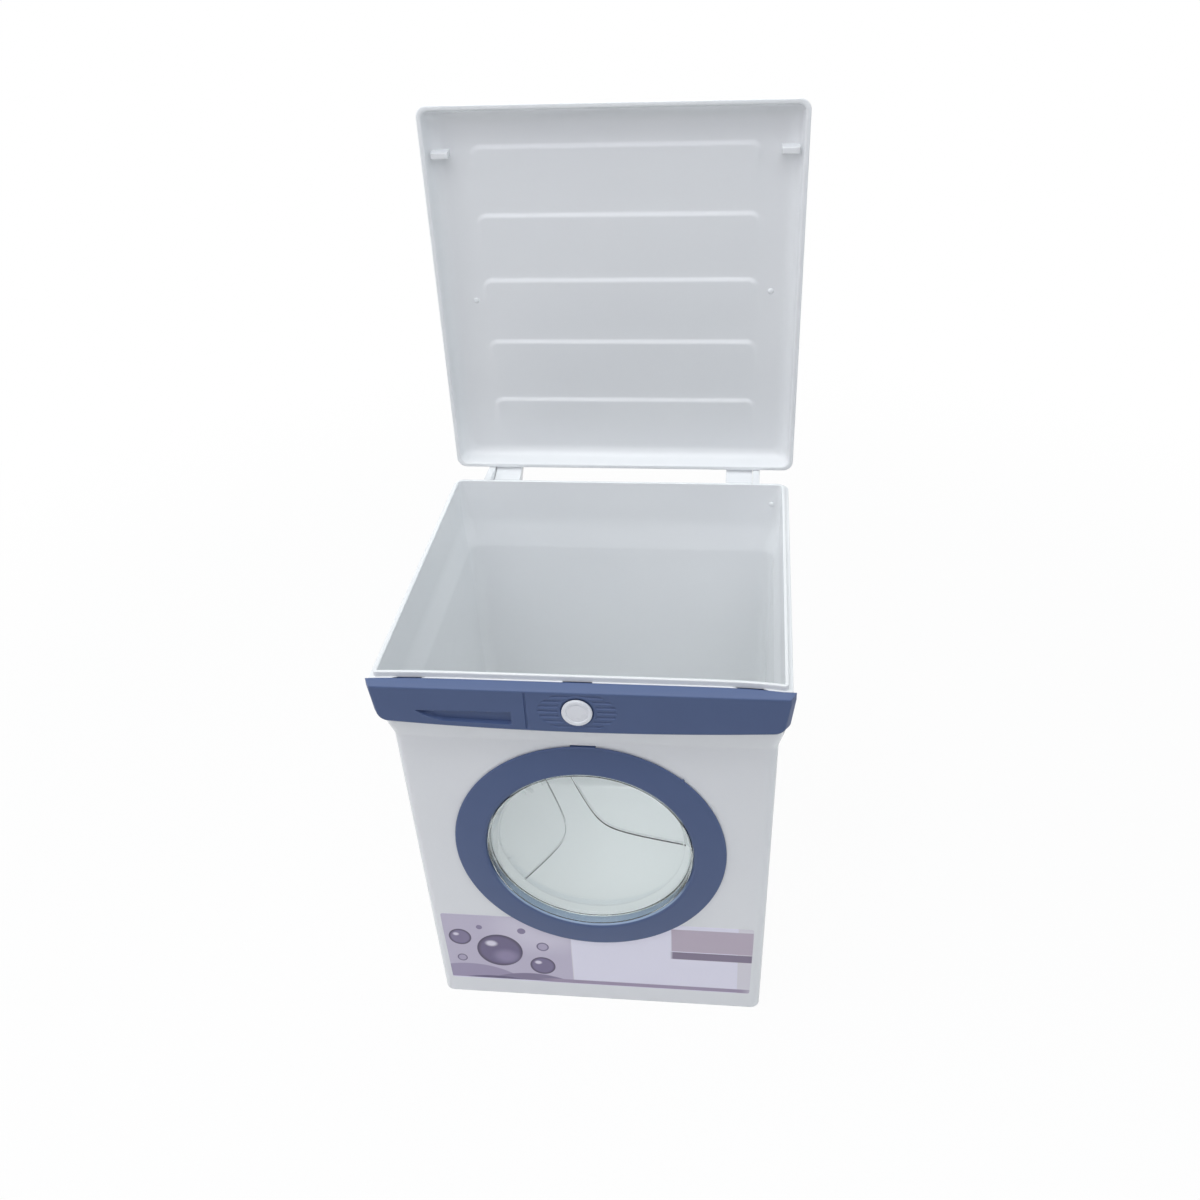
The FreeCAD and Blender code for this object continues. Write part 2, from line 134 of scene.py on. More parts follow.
class Span(NamedTuple):
    """Box of a CAD node at rest, in millimetres."""

    low: Array
    high: Array

    @classmethod
    def of(cls, node: str) -> "Span":
        """Reads a node's box from the frame."""
        low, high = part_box(node)
        return cls(np.array(low) / MM, np.array(high) / MM)

    @property
    def centre(self) -> Array:
        """Middle of the box."""
        return (self.low + self.high) / 2.0


def soften(
    path: Array, cuts: Sequence[float], steps: int, metric: Sequence[int] = (0, 1)
) -> Array:
    """Rounds the inner corners of a path of levels.

    Each corner P gives way to the quadratic curve (1-s)(1-s) A + 2 s (1-s) P + s s B, where A and B
    stand a cut's length before and after it, but never past the middle of a run.

    Args:
        path: levels, one a row.
        cuts: length that each inner corner loses from both of its runs, or 0 to keep it sharp.
        steps: parts of each curve.
        metric: columns that a length is measured in.

    Returns:
        The path with its corners rounded.
    """
    columns = list(metric)
    share = np.linspace(0.0, 1.0, steps + 1)[:, None]
    pieces = [path[:1]]
    for before, corner, after, cut in zip(path, path[1:], path[2:], cuts):
        into = before - corner
        out = after - corner
        if cut == 0.0:
            pieces.append(corner[None, :])
            continue
        start = corner + into * min(0.49, cut / np.linalg.norm(into[columns]))
        end = corner + out * min(0.49, cut / np.linalg.norm(out[columns]))
        pieces.append((1 - share) ** 2 * start + 2 * share * (1 - share) * corner + share**2 * end)
    pieces.append(path[-1:])
    return np.vstack(pieces)


def soften_ring(path: Array, cuts: Sequence[float], steps: int) -> Array:
    """Rounds every corner of a closed path, and ends it on its first point."""
    wrapped = np.vstack([path[-1:], path, path[:1]])
    softened = soften(wrapped, cuts, steps)[1:-1]
    return np.vstack([softened, softened[:1]])


def spread(path: Array, longest: float, parts: int, metric: Sequence[int]) -> Array:
    """Splits every run of a path that is longer than a length into the same number of even parts.

    Args:
        path: levels, one a row.
        longest: length above which a run is split.
        parts: parts that each such run is split into.
        metric: columns that a length is measured in.

    Returns:
        The path with its new levels.
    """
    runs = np.linalg.norm(np.diff(path[:, list(metric)], axis=0), axis=1)
    counts = np.where(runs > longest, parts, 1)
    places = [start + np.arange(count) / count for start, count in enumerate(counts)]
    places = np.concatenate(places + [[len(path) - 1.0]])
    order = np.arange(len(path))
    return np.stack([np.interp(places, order, column) for column in path.T], axis=1)


def rounded_loops(levels: Array, across: Array, along: Array, turns: int) -> Array:
    """Loops of points round rounded rectangles, one loop a level, anticlockwise from above.

    Each loop runs along the front, the right side, the back and the left side. Points of a straight
    run stand at fixed shares of it, and points of a corner at even angles of its arc.

    Args:
        levels: rows of half width, front Y, back Y, front radius, back radius and height.
        across: shares of the front and back runs, from -1 to 1.
        along: shares of the side runs, from -1 at the front to 1 at the back.
        turns: points inside each corner's arc.

    Returns:
        Points, levels by places round the loop by three.
    """
    half, front, back, front_r, back_r, z = (column[:, None] for column in levels.T)
    quarter = np.radians(np.linspace(0.0, 90.0, turns + 2)[1:-1])[None, :]
    middle = (front + front_r + back - back_r) / 2.0
    reach = (back - back_r - front - front_r) / 2.0

    def corner(x: Array, y: Array, radius: Array, start: float) -> tuple[Array, Array]:
        """Points of one corner's arc."""
        angle = math.radians(start) + quarter
        return x + radius * np.cos(angle), y + radius * np.sin(angle)

    pieces = [
        ((half - front_r) * across, front + 0 * across),
        corner(half - front_r, front + front_r, front_r, -90.0),
        (half + 0 * along, middle + reach * along),
        corner(half - back_r, back - back_r, back_r, 0.0),
        ((half - back_r) * across[::-1], back + 0 * across),
        corner(back_r - half, back - back_r, back_r, 90.0),
        (-half + 0 * along, middle + reach * along[::-1]),
        corner(front_r - half, front + front_r, front_r, 180.0),
    ]
    x = np.concatenate([piece[0] for piece in pieces], axis=1)
    y = np.concatenate([piece[1] for piece in pieces], axis=1)
    return np.stack([x, y, z + 0 * x], axis=-1)


def border(grid: Array) -> Array:
    """Points round the edge of a grid: along its first row, up its last column, back and down."""
    return np.concatenate([grid[0, :-1], grid[:-1, -1], grid[-1, :0:-1], grid[:0:-1, 0]])


def turned(profile: Array, angles: Array) -> Array:
    """Grid of a profile of radius and height carried round the axis +Z at each angle.

    Args:
        profile: radius and height of each point.
        angles: turn of each column, in radians.

    Returns:
        Points, profile by angles by three.
    """
    radius = profile[:, 0, None]
    x = radius * np.cos(angles)
    y = radius * np.sin(angles)
    return np.stack([x, y, profile[:, 1, None] + 0 * x], axis=-1)


def even_angles(count: int) -> Array:
    """Angles evenly spaced round a full turn."""
    return np.linspace(0.0, 2.0 * math.pi, count, endpoint=False)


def inset_outline(outline: Array, amount: float) -> Array:
    """Closed anticlockwise outline moved inwards, each point along the middle of its two normals.

    Args:
        outline: its points.
        amount: distance inwards.

    Returns:
        The moved outline.
    """
    edge = np.roll(outline, -1, axis=0) - outline
    normal = np.stack([edge[:, 1], -edge[:, 0]], axis=1)
    normal /= np.maximum(np.linalg.norm(normal, axis=1, keepdims=True), 1e-9)
    middle = normal + np.roll(normal, 1, axis=0)
    middle /= np.linalg.norm(middle, axis=1, keepdims=True)
    mitre = np.maximum(np.sum(middle * normal, axis=1, keepdims=True), 0.4)
    return outline - middle * amount / mitre


def slab(outline: Array, x: tuple[float, float], corners: Sequence[float], edge: float) -> Surface:
    """Plate with rounded corners and edges: a closed outline of (y, z) points carried along X.

    Args:
        outline: corners of the plate, anticlockwise seen from +X.
        x: lowest and highest X.
        corners: cut of each corner.
        edge: radius of the edges round both end faces.

    Returns:
        The closed surface.
    """
    loop = soften_ring(outline, corners, 5)[:-1]
    turn = np.radians(np.linspace(0.0, 90.0, 4))
    low = [(edge * (1 - math.sin(a)), x[0] + edge * (1 - math.cos(a))) for a in turn]
    high = [(inward, x[0] + x[1] - place) for inward, place in reversed(low)]
    pole = loop.mean(axis=0)
    loops = [np.repeat(pole[None, :], len(loop), axis=0)]
    loops += [inset_outline(loop, inward) for inward, _ in low + high]
    loops.append(loops[0])
    places = np.array([x[0]] + [place for _, place in low + high] + [x[1]])[:, None, None]
    outlines = np.stack(loops)
    across = np.broadcast_to(places, (*outlines.shape[:2], 1))
    return Surface.from_grid(np.concatenate([across, outlines], axis=-1), around=True)


def dome(radius: float, height: float) -> Surface:
    """Low round bump about +Z, its foot sunk by its own height.

    Args:
        radius: radius of the foot.
        height: height of the top.

    Returns:
        The closed surface.
    """
    foot = [(0.0, -height), (radius, -height), (radius, 0.0)]
    profile = np.array(foot + [(radius * 0.6, height), (0.0, height)])
    rounded = soften(profile, (0.0, 0.0, height), 4)
    return Surface.from_grid(turned(rounded, even_angles(20)), around=True)


def placing(place: Sequence[float], degrees: float, axis: str) -> Array:
    """Matrix that turns about an axis of the frame and then moves by a place, in millimetres."""
    turn = Matrix.Rotation(math.radians(degrees), 4, axis)
    return np.array(Matrix.Translation(place) @ turn)


def smooth_step(value: Array) -> Array:
    """0 below 0 and 1 above 1, with a smooth rise of 3 s s - 2 s s s between."""
    share = np.clip(value, 0.0, 1.0)
    return share * share * (3.0 - 2.0 * share)


def dense(edges: Sequence[float], gap: float, *zones: tuple[float, float, float]) -> Array:
    """Sorted places from end to end at a coarse gap, with finer zones of (start, end, spacing).

    Args:
        edges: both ends.
        gap: coarse spacing.
        zones: the finer zones.

    Returns:
        The places.
    """
    places = [np.linspace(edges[0], edges[-1], max(2, round((edges[-1] - edges[0]) / gap) + 1))]
    for start, end, spacing in zones:
        places[0] = places[0][(places[0] < start - spacing / 2) | (places[0] > end + spacing / 2)]
        places.append(np.linspace(start, end, round((end - start) / spacing) + 1))
    return np.unique(np.round(np.concatenate(places), 5))


# ---------------------------------------------------------------- shared places
@dataclass(frozen=True)
class FrontFace:
    """The tub's tilted front face, and the door's own frame on it: x across, y up the face, z out."""

    base_y: float = -94.6
    shoulder_y: float = -97.2
    shoulder_z: float = 200.0
    door_z: float = 124.4

    @property
    def tilt(self) -> float:
        """Lean of the face from upright, in radians."""
        return math.atan2(self.base_y - self.shoulder_y, self.shoulder_z)

    def y_at(self, z: float) -> float:
        """Y of the face at a height."""
        return self.base_y + (self.shoulder_y - self.base_y) * z / self.shoulder_z

    @property
    def matrix(self) -> Array:
        """Moves door coordinates into the frame."""
        turn = Matrix.Rotation(math.radians(90.0) + self.tilt, 4, "X")
        return np.array(Matrix.Translation((0.0, self.y_at(self.door_z), self.door_z)) @ turn)


@dataclass(frozen=True)
class FrontBow:
    """Inward bow of the mouth's long front edge, as thin moulded walls take when they cool."""

    left_half: float = 108.0
    right_half: float = 97.5
    deep: float = 2.2
    low_z: float = 212.0
    high_z: float = 236.0
    left_power: int = 6
    right_power: int = 8

    def at(self, x: Array, z: Array) -> Array:
        """How far a place of the front moves back.

        The depth is times 1 - |x / half| ^ power towards each end, and rises smoothly from low to high.

        Args:
            x: X of the place.
            z: Z of the place.

        Returns:
            Distance towards +Y.
        """
        left = np.clip(-x / self.left_half, 0.0, 1.0) ** self.left_power
        right = np.clip(x / self.right_half, 0.0, 1.0) ** self.right_power
        across = 1.0 - left - right
        return self.deep * across * smooth_step((z - self.low_z) / (self.high_z - self.low_z))


@dataclass(frozen=True)
class LedgeSlots:
    """Slots under the mouth's front edge, which the control panel's hooks snap into."""

    x: tuple[float, ...] = (-83.4, 0.0, 83.4)
    width: float = 14.5

    def among(self, places: Array, gap: float, clear: float) -> Array:
        """Puts the slots' edges among columns.

        Args:
            places: X of the columns.
            gap: width of the step at each edge.
            clear: distance that other columns keep from an edge.

        Returns:
            X of all columns, sorted.
        """
        halves = (self.width / 2, self.width / 2 + gap)
        edges = np.array([x + side * half for x in self.x for side in (-1, 1) for half in halves])
        far = np.min(np.abs(places[:, None] - edges), axis=1) > clear
        return np.unique(np.concatenate([places[far], edges]))

    def hold(self, x: Array, slack: float) -> Array:
        """True where an X is in a slot, or within a slack beside one."""
        return np.min(np.abs(x[:, None] - np.array(self.x)), axis=1) < self.width / 2 + slack


def joint_place(name: str) -> tuple[float, ...]:
    """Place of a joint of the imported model, in millimetres."""
    place = next(joint["pos_m"] for joint in frame["joints"] if joint["name"] == name)
    return tuple(value / MM for value in place)


@dataclass(frozen=True)
class Hinge:
    """Axis of the lid's hinge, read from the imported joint, and the quarter turn that opens it."""

    y: float
    z: float

    @classmethod
    def of(cls, name: str) -> "Hinge":
        """Reads the hinge's place from the joint of that name."""
        _, y, z = joint_place(name)
        return cls(y, z)

    @property
    def opening(self) -> Array:
        """Turns the closed lid a quarter turn back about the hinge."""
        there = Matrix.Translation((0.0, self.y, self.z))
        return np.array(there @ Matrix.Rotation(math.radians(-90.0), 4, "X") @ there.inverted())


# ---------------------------------------------------------------- finishes
def linear(hex_colour: str) -> tuple[float, float, float, float]:
    """Linear colour with full alpha from an sRGB hex value such as #E8E6EA."""
    channels = [int(hex_colour[at : at + 2], 16) / 255.0 for at in (1, 3, 5)]
    curve = [c / 12.92 if c <= 0.04045 else ((c + 0.055) / 1.055) ** 2.4 for c in channels]
    return (curve[0], curve[1], curve[2], 1.0)


def add_node(
    tree: bpy.types.NodeTree,
    kind: str,
    inputs: dict | None = None,
    links: dict | None = None,
    **settings: object,
) -> bpy.types.Node:
    """Adds a node with its settings, socket values and links.

    Args:
        tree: node tree that it joins.
        kind: Blender's name of the node.
        inputs: value of each input socket, by name or number.
        links: output socket that feeds each input socket, by name or number.
        settings: attributes of the node.

    Returns:
        The node.
    """
    node = tree.nodes.new(kind)
    for name, value in settings.items():
        setattr(node, name, value)
    for key, value in (inputs or {}).items():
        node.inputs[key].default_value = value
    for key, socket in (links or {}).items():
        tree.links.new(socket, node.inputs[key])
    return node


def new_material(name: str) -> tuple[bpy.types.Material, bpy.types.NodeTree]:
    """Empty node-based material and its tree.

    Args:
        name: the material's name.

    Returns:
        The material and its node tree.
    """
    material = bpy.data.materials.new(name)
    material.use_nodes = True
    material.node_tree.nodes.clear()
    return material, material.node_tree


def per_mm(size: float) -> float:
    """Noise scale whose features are about this many millimetres across in Object coordinates."""
    return 1.0 / (size * MM)


class Relief(NamedTuple):
    """One layer of fine relief on a skin: its size across and height, in millimetres."""

    size_mm: float
    height_mm: float
    detail: float

    def lay(
        self, tree: bpy.types.NodeTree, place: bpy.types.NodeSocket, under: dict | None = None
    ) -> bpy.types.NodeSocket:
        """Adds the layer as a bump.

        Args:
            tree: node tree of the material.
            place: Object coordinates.
            under: "Normal" of the layer below, if there is one.

        Returns:
            The normal's output socket.
        """
        noise = add_node(
            tree,
            "ShaderNodeTexNoise",
            inputs={"Scale": per_mm(self.size_mm), "Detail": self.detail},
            links={"Vector": place},
        ).outputs["Fac"]
        return add_node(
            tree,
            "ShaderNodeBump",
            inputs={"Strength": 1.0, "Distance": self.height_mm * MM},
            links=(under or {}) | {"Height": noise},
        ).outputs["Normal"]


class PaintedHighlightRim(NamedTuple):
    """Painted highlight: a pale band low down inside a ring's hole, where its rounded edge would catch
    light from above, in millimetres.

    Each pair holds the place where the band is nothing, and the place where it is full.
    """

    colour: str
    middle_z: float
    inner_r: tuple[float, float]
    outer_r: tuple[float, float]
    fade_z: tuple[float, float]

    def mask(self, tree: bpy.types.NodeTree, place: bpy.types.NodeSocket) -> bpy.types.NodeSocket:
        """Adds nodes that are 1 on the band: the product of a smooth step for each of its limits.

        Args:
            tree: node tree of the material.
            place: Object coordinates.

        Returns:
            The mask's output socket.
        """
        across = add_node(
            tree,
            "ShaderNodeVectorMath",
            operation="MULTIPLY_ADD",
            inputs={1: (1.0, 0.0, 1.0), 2: (0.0, 0.0, -self.middle_z * MM)},
            links={0: place},
        ).outputs["Vector"]
        radius = add_node(
            tree, "ShaderNodeVectorMath", operation="LENGTH", links={0: across}
        ).outputs["Value"]
        height = add_node(tree, "ShaderNodeSeparateXYZ", links={"Vector": across}).outputs["Z"]
        share = None
        for value, (start, end) in (
            (radius, self.inner_r),
            (radius, self.outer_r),
            (height, self.fade_z),
        ):
            step = add_node(
                tree,
                "ShaderNodeMapRange",
                interpolation_type="SMOOTHSTEP",
                inputs={"From Min": start * MM, "From Max": end * MM, "To Min": 0.0, "To Max": 1.0},
                links={"Value": value},
            ).outputs["Result"]
            share = step if share is None else add_node(
                tree, "ShaderNodeMath", operation="MULTIPLY", links={0: share, 1: step}
            ).outputs[0]
        return share


@dataclass(frozen=True)
class MouldedPlastic:
    """Opaque injection-moulded plastic: smooth skin, faint flow waves and a fine mould grain."""

    name: str
    colour: str
    shade: str
    roughness: float
    roughness_spread: float
    cloud_mm: float
    wave: Relief
    grain: Relief
    ior: float = 1.49
    # Optional painted highlight: a pale band mixed into the base colour.
    painted_highlight: PaintedHighlightRim | None = None

    def make(self) -> bpy.types.Material:
        """Builds the material: clouds mix the two shades, and waves and grain give the bump.

        Returns:
            The material.
        """
        material, tree = new_material(self.name)
        place = add_node(tree, "ShaderNodeTexCoord").outputs["Object"]
        cloud = add_node(
            tree,
            "ShaderNodeTexNoise",
            inputs={"Scale": per_mm(self.cloud_mm), "Detail": 3.0, "Roughness": 0.5},
            links={"Vector": place},
        ).outputs["Fac"]
        colour = add_node(
            tree,
            "ShaderNodeMix",
            data_type="RGBA",
            inputs={6: linear(self.colour), 7: linear(self.shade)},
            links={0: cloud},
        ).outputs[2]
        # Painted highlight: the pale band is mixed over the base colour.
        if self.painted_highlight:
            colour = add_node(
                tree,
                "ShaderNodeMix",
                data_type="RGBA",
                inputs={7: linear(self.painted_highlight.colour)},
                links={0: self.painted_highlight.mask(tree, place), 6: colour},
            ).outputs[2]
        rough = add_node(
            tree,
            "ShaderNodeMapRange",
            inputs={
                "To Min": self.roughness - self.roughness_spread,
                "To Max": self.roughness + self.roughness_spread,
            },
            links={"Value": cloud},
        ).outputs["Result"]
        waved = self.wave.lay(tree, place)
        grained = self.grain.lay(tree, place, {"Normal": waved})
        shader = add_node(
            tree,
            "ShaderNodeBsdfPrincipled",
            inputs={"IOR": self.ior},
            links={"Base Color": colour, "Roughness": rough, "Normal": grained},
        )
        add_node(tree, "ShaderNodeOutputMaterial", links={"Surface": shader.outputs["BSDF"]})
        return material


@dataclass(frozen=True)
class ClearPlastic:
    """Clear injection-moulded polystyrene: glassy, with faint flow waves that bend what is behind."""

    name: str
    colour: str
    roughness: float
    ior: float
    wave: Relief

    def make(self) -> bpy.types.Material:
        """Builds the material with the waves as its bump.

        Returns:
            The material.
        """
        material, tree = new_material(self.name)
        place = add_node(tree, "ShaderNodeTexCoord").outputs["Object"]
        shader = add_node(
            tree,
            "ShaderNodeBsdfPrincipled",
            inputs={
                "Base Color": linear(self.colour),
                "Roughness": self.roughness,
                "IOR": self.ior,
                "Transmission Weight": 1.0,
            },
            links={"Normal": self.wave.lay(tree, place)},
        )
        add_node(tree, "ShaderNodeOutputMaterial", links={"Surface": shader.outputs["BSDF"]})
        return material


class Motif(Enum):
    """Shape of one printed field."""

    BLOCK = "block"
    BUBBLE = "bubble"


class PrintField(NamedTuple):
    """One field of the label's print: shape, middle X and Z, half sizes and edge, in millimetres."""

    motif: Motif
    colour: str
    x: float
    z: float
    half_x: float
    half_z: float
    edge: float = 0.15
    strength: float = 1.0


@dataclass(frozen=True)
class PrintedFilm:
    """Glossy printed label film: flat fields of ink under a clear gloss, with a slight quilting."""

    name: str
    paper: str
    shade: str
    cloud_mm: float
    fields: tuple[PrintField, ...]
    roughness: float
    ior: float
    quilt: Relief

    def mask(
        self, tree: bpy.types.NodeTree, place: bpy.types.NodeSocket, ink: PrintField
    ) -> bpy.types.NodeSocket:
        """Adds the nodes that are 1 inside a field and 0 outside it.

        The place is scaled so that the field is one unit from its middle to its edge. A bubble takes
        the length of what results, and a block its longer side.

        Args:
            tree: node tree of the material.
            place: Object coordinates.
            ink: the field.

        Returns:
            The mask's output socket.
        """
        scale = (1.0 / (ink.half_x * MM), 0.0, 1.0 / (ink.half_z * MM))
        centre = (ink.x * MM * scale[0], 0.0, ink.z * MM * scale[2])
        vector = "ShaderNodeVectorMath"
        scaled = add_node(tree, vector, operation="MULTIPLY", inputs={1: scale}, links={0: place})
        unit = {0: scaled.outputs[0]}
        if ink.motif is Motif.BUBBLE:
            away = add_node(tree, vector, operation="DISTANCE", inputs={1: centre}, links=unit)
            reach = away.outputs["Value"]
        else:
            away = add_node(tree, vector, operation="SUBTRACT", inputs={1: centre}, links=unit)
            size = add_node(tree, vector, operation="ABSOLUTE", links={0: away.outputs[0]})
            sides = add_node(tree, "ShaderNodeSeparateXYZ", links={0: size.outputs[0]}).outputs
            longer = {0: sides["X"], 1: sides["Z"]}
            reach = add_node(tree, "ShaderNodeMath", operation="MAXIMUM", links=longer).outputs[0]
        soft = ink.edge / min(ink.half_x, ink.half_z)
        return add_node(
            tree,
            "ShaderNodeMapRange",
            interpolation_type="SMOOTHSTEP",
            inputs={"From Min": 1.0 + soft, "From Max": 1.0 - soft, "To Max": ink.strength},
            links={"Value": reach},
        ).outputs["Result"]

    def make(self) -> bpy.types.Material:
        """Builds the material: each field is laid over those before it.

        Returns:
            The material.
        """
        material, tree = new_material(self.name)
        place = add_node(tree, "ShaderNodeTexCoord").outputs["Object"]
        tone = add_node(
            tree,
            "ShaderNodeTexNoise",
            inputs={"Scale": per_mm(self.cloud_mm), "Detail": 2.0},
            links={"Vector": place},
        ).outputs["Fac"]
        colour = add_node(
            tree,
            "ShaderNodeMix",
            data_type="RGBA",
            inputs={6: linear(self.paper), 7: linear(self.shade)},
            links={0: tone},
        ).outputs[2]
        for ink in self.fields:
            colour = add_node(
                tree,
                "ShaderNodeMix",
                data_type="RGBA",
                inputs={7: linear(ink.colour)},
                links={0: self.mask(tree, place, ink), 6: colour},
            ).outputs[2]
        shader = add_node(
            tree,
            "ShaderNodeBsdfPrincipled",
            inputs={"Roughness": self.roughness, "IOR": self.ior},
            links={"Base Color": colour, "Normal": self.quilt.lay(tree, place)},
        )
        add_node(tree, "ShaderNodeOutputMaterial", links={"Surface": shader.outputs["BSDF"]})
        return material


# Natural-white polypropylene, moulded in a polished tool: milky, half gloss, hardly any grain. The
# grain of every plastic here is drawn several times coarser than the real one, so that it shows.
WHITE_POLYPROPYLENE = MouldedPlastic(
    name="white_polypropylene",
    colour="#F3F5F6",
    shade="#EFF1F3",
    roughness=0.25,
    roughness_spread=0.04,
    cloud_mm=60.0,
    wave=Relief(22.0, 0.1, 2.0),
    grain=Relief(1.2, 0.004, 1.0),
)
# The same polypropylene tinted slate blue, in a finely blasted tool: even and nearly matt.
BLUE_POLYPROPYLENE = MouldedPlastic(
    name="slate_blue_polypropylene",
    colour="#465982",
    shade="#4C5F88",
    roughness=0.46,
    roughness_spread=0.05,
    cloud_mm=18.0,
    wave=Relief(14.0, 0.04, 2.0),
    grain=Relief(0.7, 0.012, 1.0),
)
# The ring's blue, with a painted highlight: a pale band low down inside its hole.
RING_POLYPROPYLENE = replace(
    BLUE_POLYPROPYLENE,
    name="slate_blue_ring_polypropylene",
    painted_highlight=PaintedHighlightRim("#A6BAD6", FrontFace.door_z, (53.8, 54.1), (56.4, 56.0), (-14.0, -36.0)),
)
# White knob in the same plastic, a little cooler and glossier from handling.
KNOB_POLYPROPYLENE = MouldedPlastic(
    name="white_knob_polypropylene",
    colour="#F4F6F9",
    shade="#EFF1F6",
    roughness=0.28,
    roughness_spread=0.03,
    cloud_mm=12.0,
    wave=Relief(6.0, 0.02, 2.0),
    grain=Relief(0.8, 0.004, 1.0),
)
# Clear general-purpose polystyrene: bright, glassy edges and a very faint cool tint.
CLEAR_POLYSTYRENE = ClearPlastic(
    name="clear_polystyrene",
    colour="#F4F8F6",
    roughness=0.03,
    ior=1.55,
    wave=Relief(35.0, 0.05, 1.0),
)


def make_piece(
    name: str,
    surface: Surface,
    finish: bpy.types.Material,
    body: str,
    node: str,
    sharp: float = 35.0,
) -> bpy.types.Object:
    """Turns a surface into a piece that stands for a CAD node.

    Args:
        name: piece name.
        surface: its shape, in millimetres.
        finish: its material.
        body: CAD body that it rides on.
        node: CAD node that it replaces.
        sharp: angle in degrees above which an edge stays sharp.

    Returns:
        The new object.
    """
    mesh = bpy.data.meshes.new(name)
    mesh.from_pydata(surface.points * MM, [], surface.faces.tolist())
    welded = bmesh.new()
    welded.from_mesh(mesh)
    bmesh.ops.remove_doubles(welded, verts=welded.verts, dist=MERGE)
    welded.to_mesh(mesh)
    welded.free()
    mesh.shade_smooth()
    mesh.set_sharp_from_angle(angle=math.radians(sharp))
    mesh.materials.append(finish)
    piece = bpy.data.objects.new(name, mesh)
    bpy.context.scene.collection.objects.link(piece)
    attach(piece, body)
    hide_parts(node)
    log.info("%s: %d faces on %s for %s", name, len(mesh.polygons), body, node)
    return piece


# ---------------------------------------------------------------- tub
# Numbers of a shell's level that lengths along its path are measured in: half width and height.
SECTION = (0, 5)


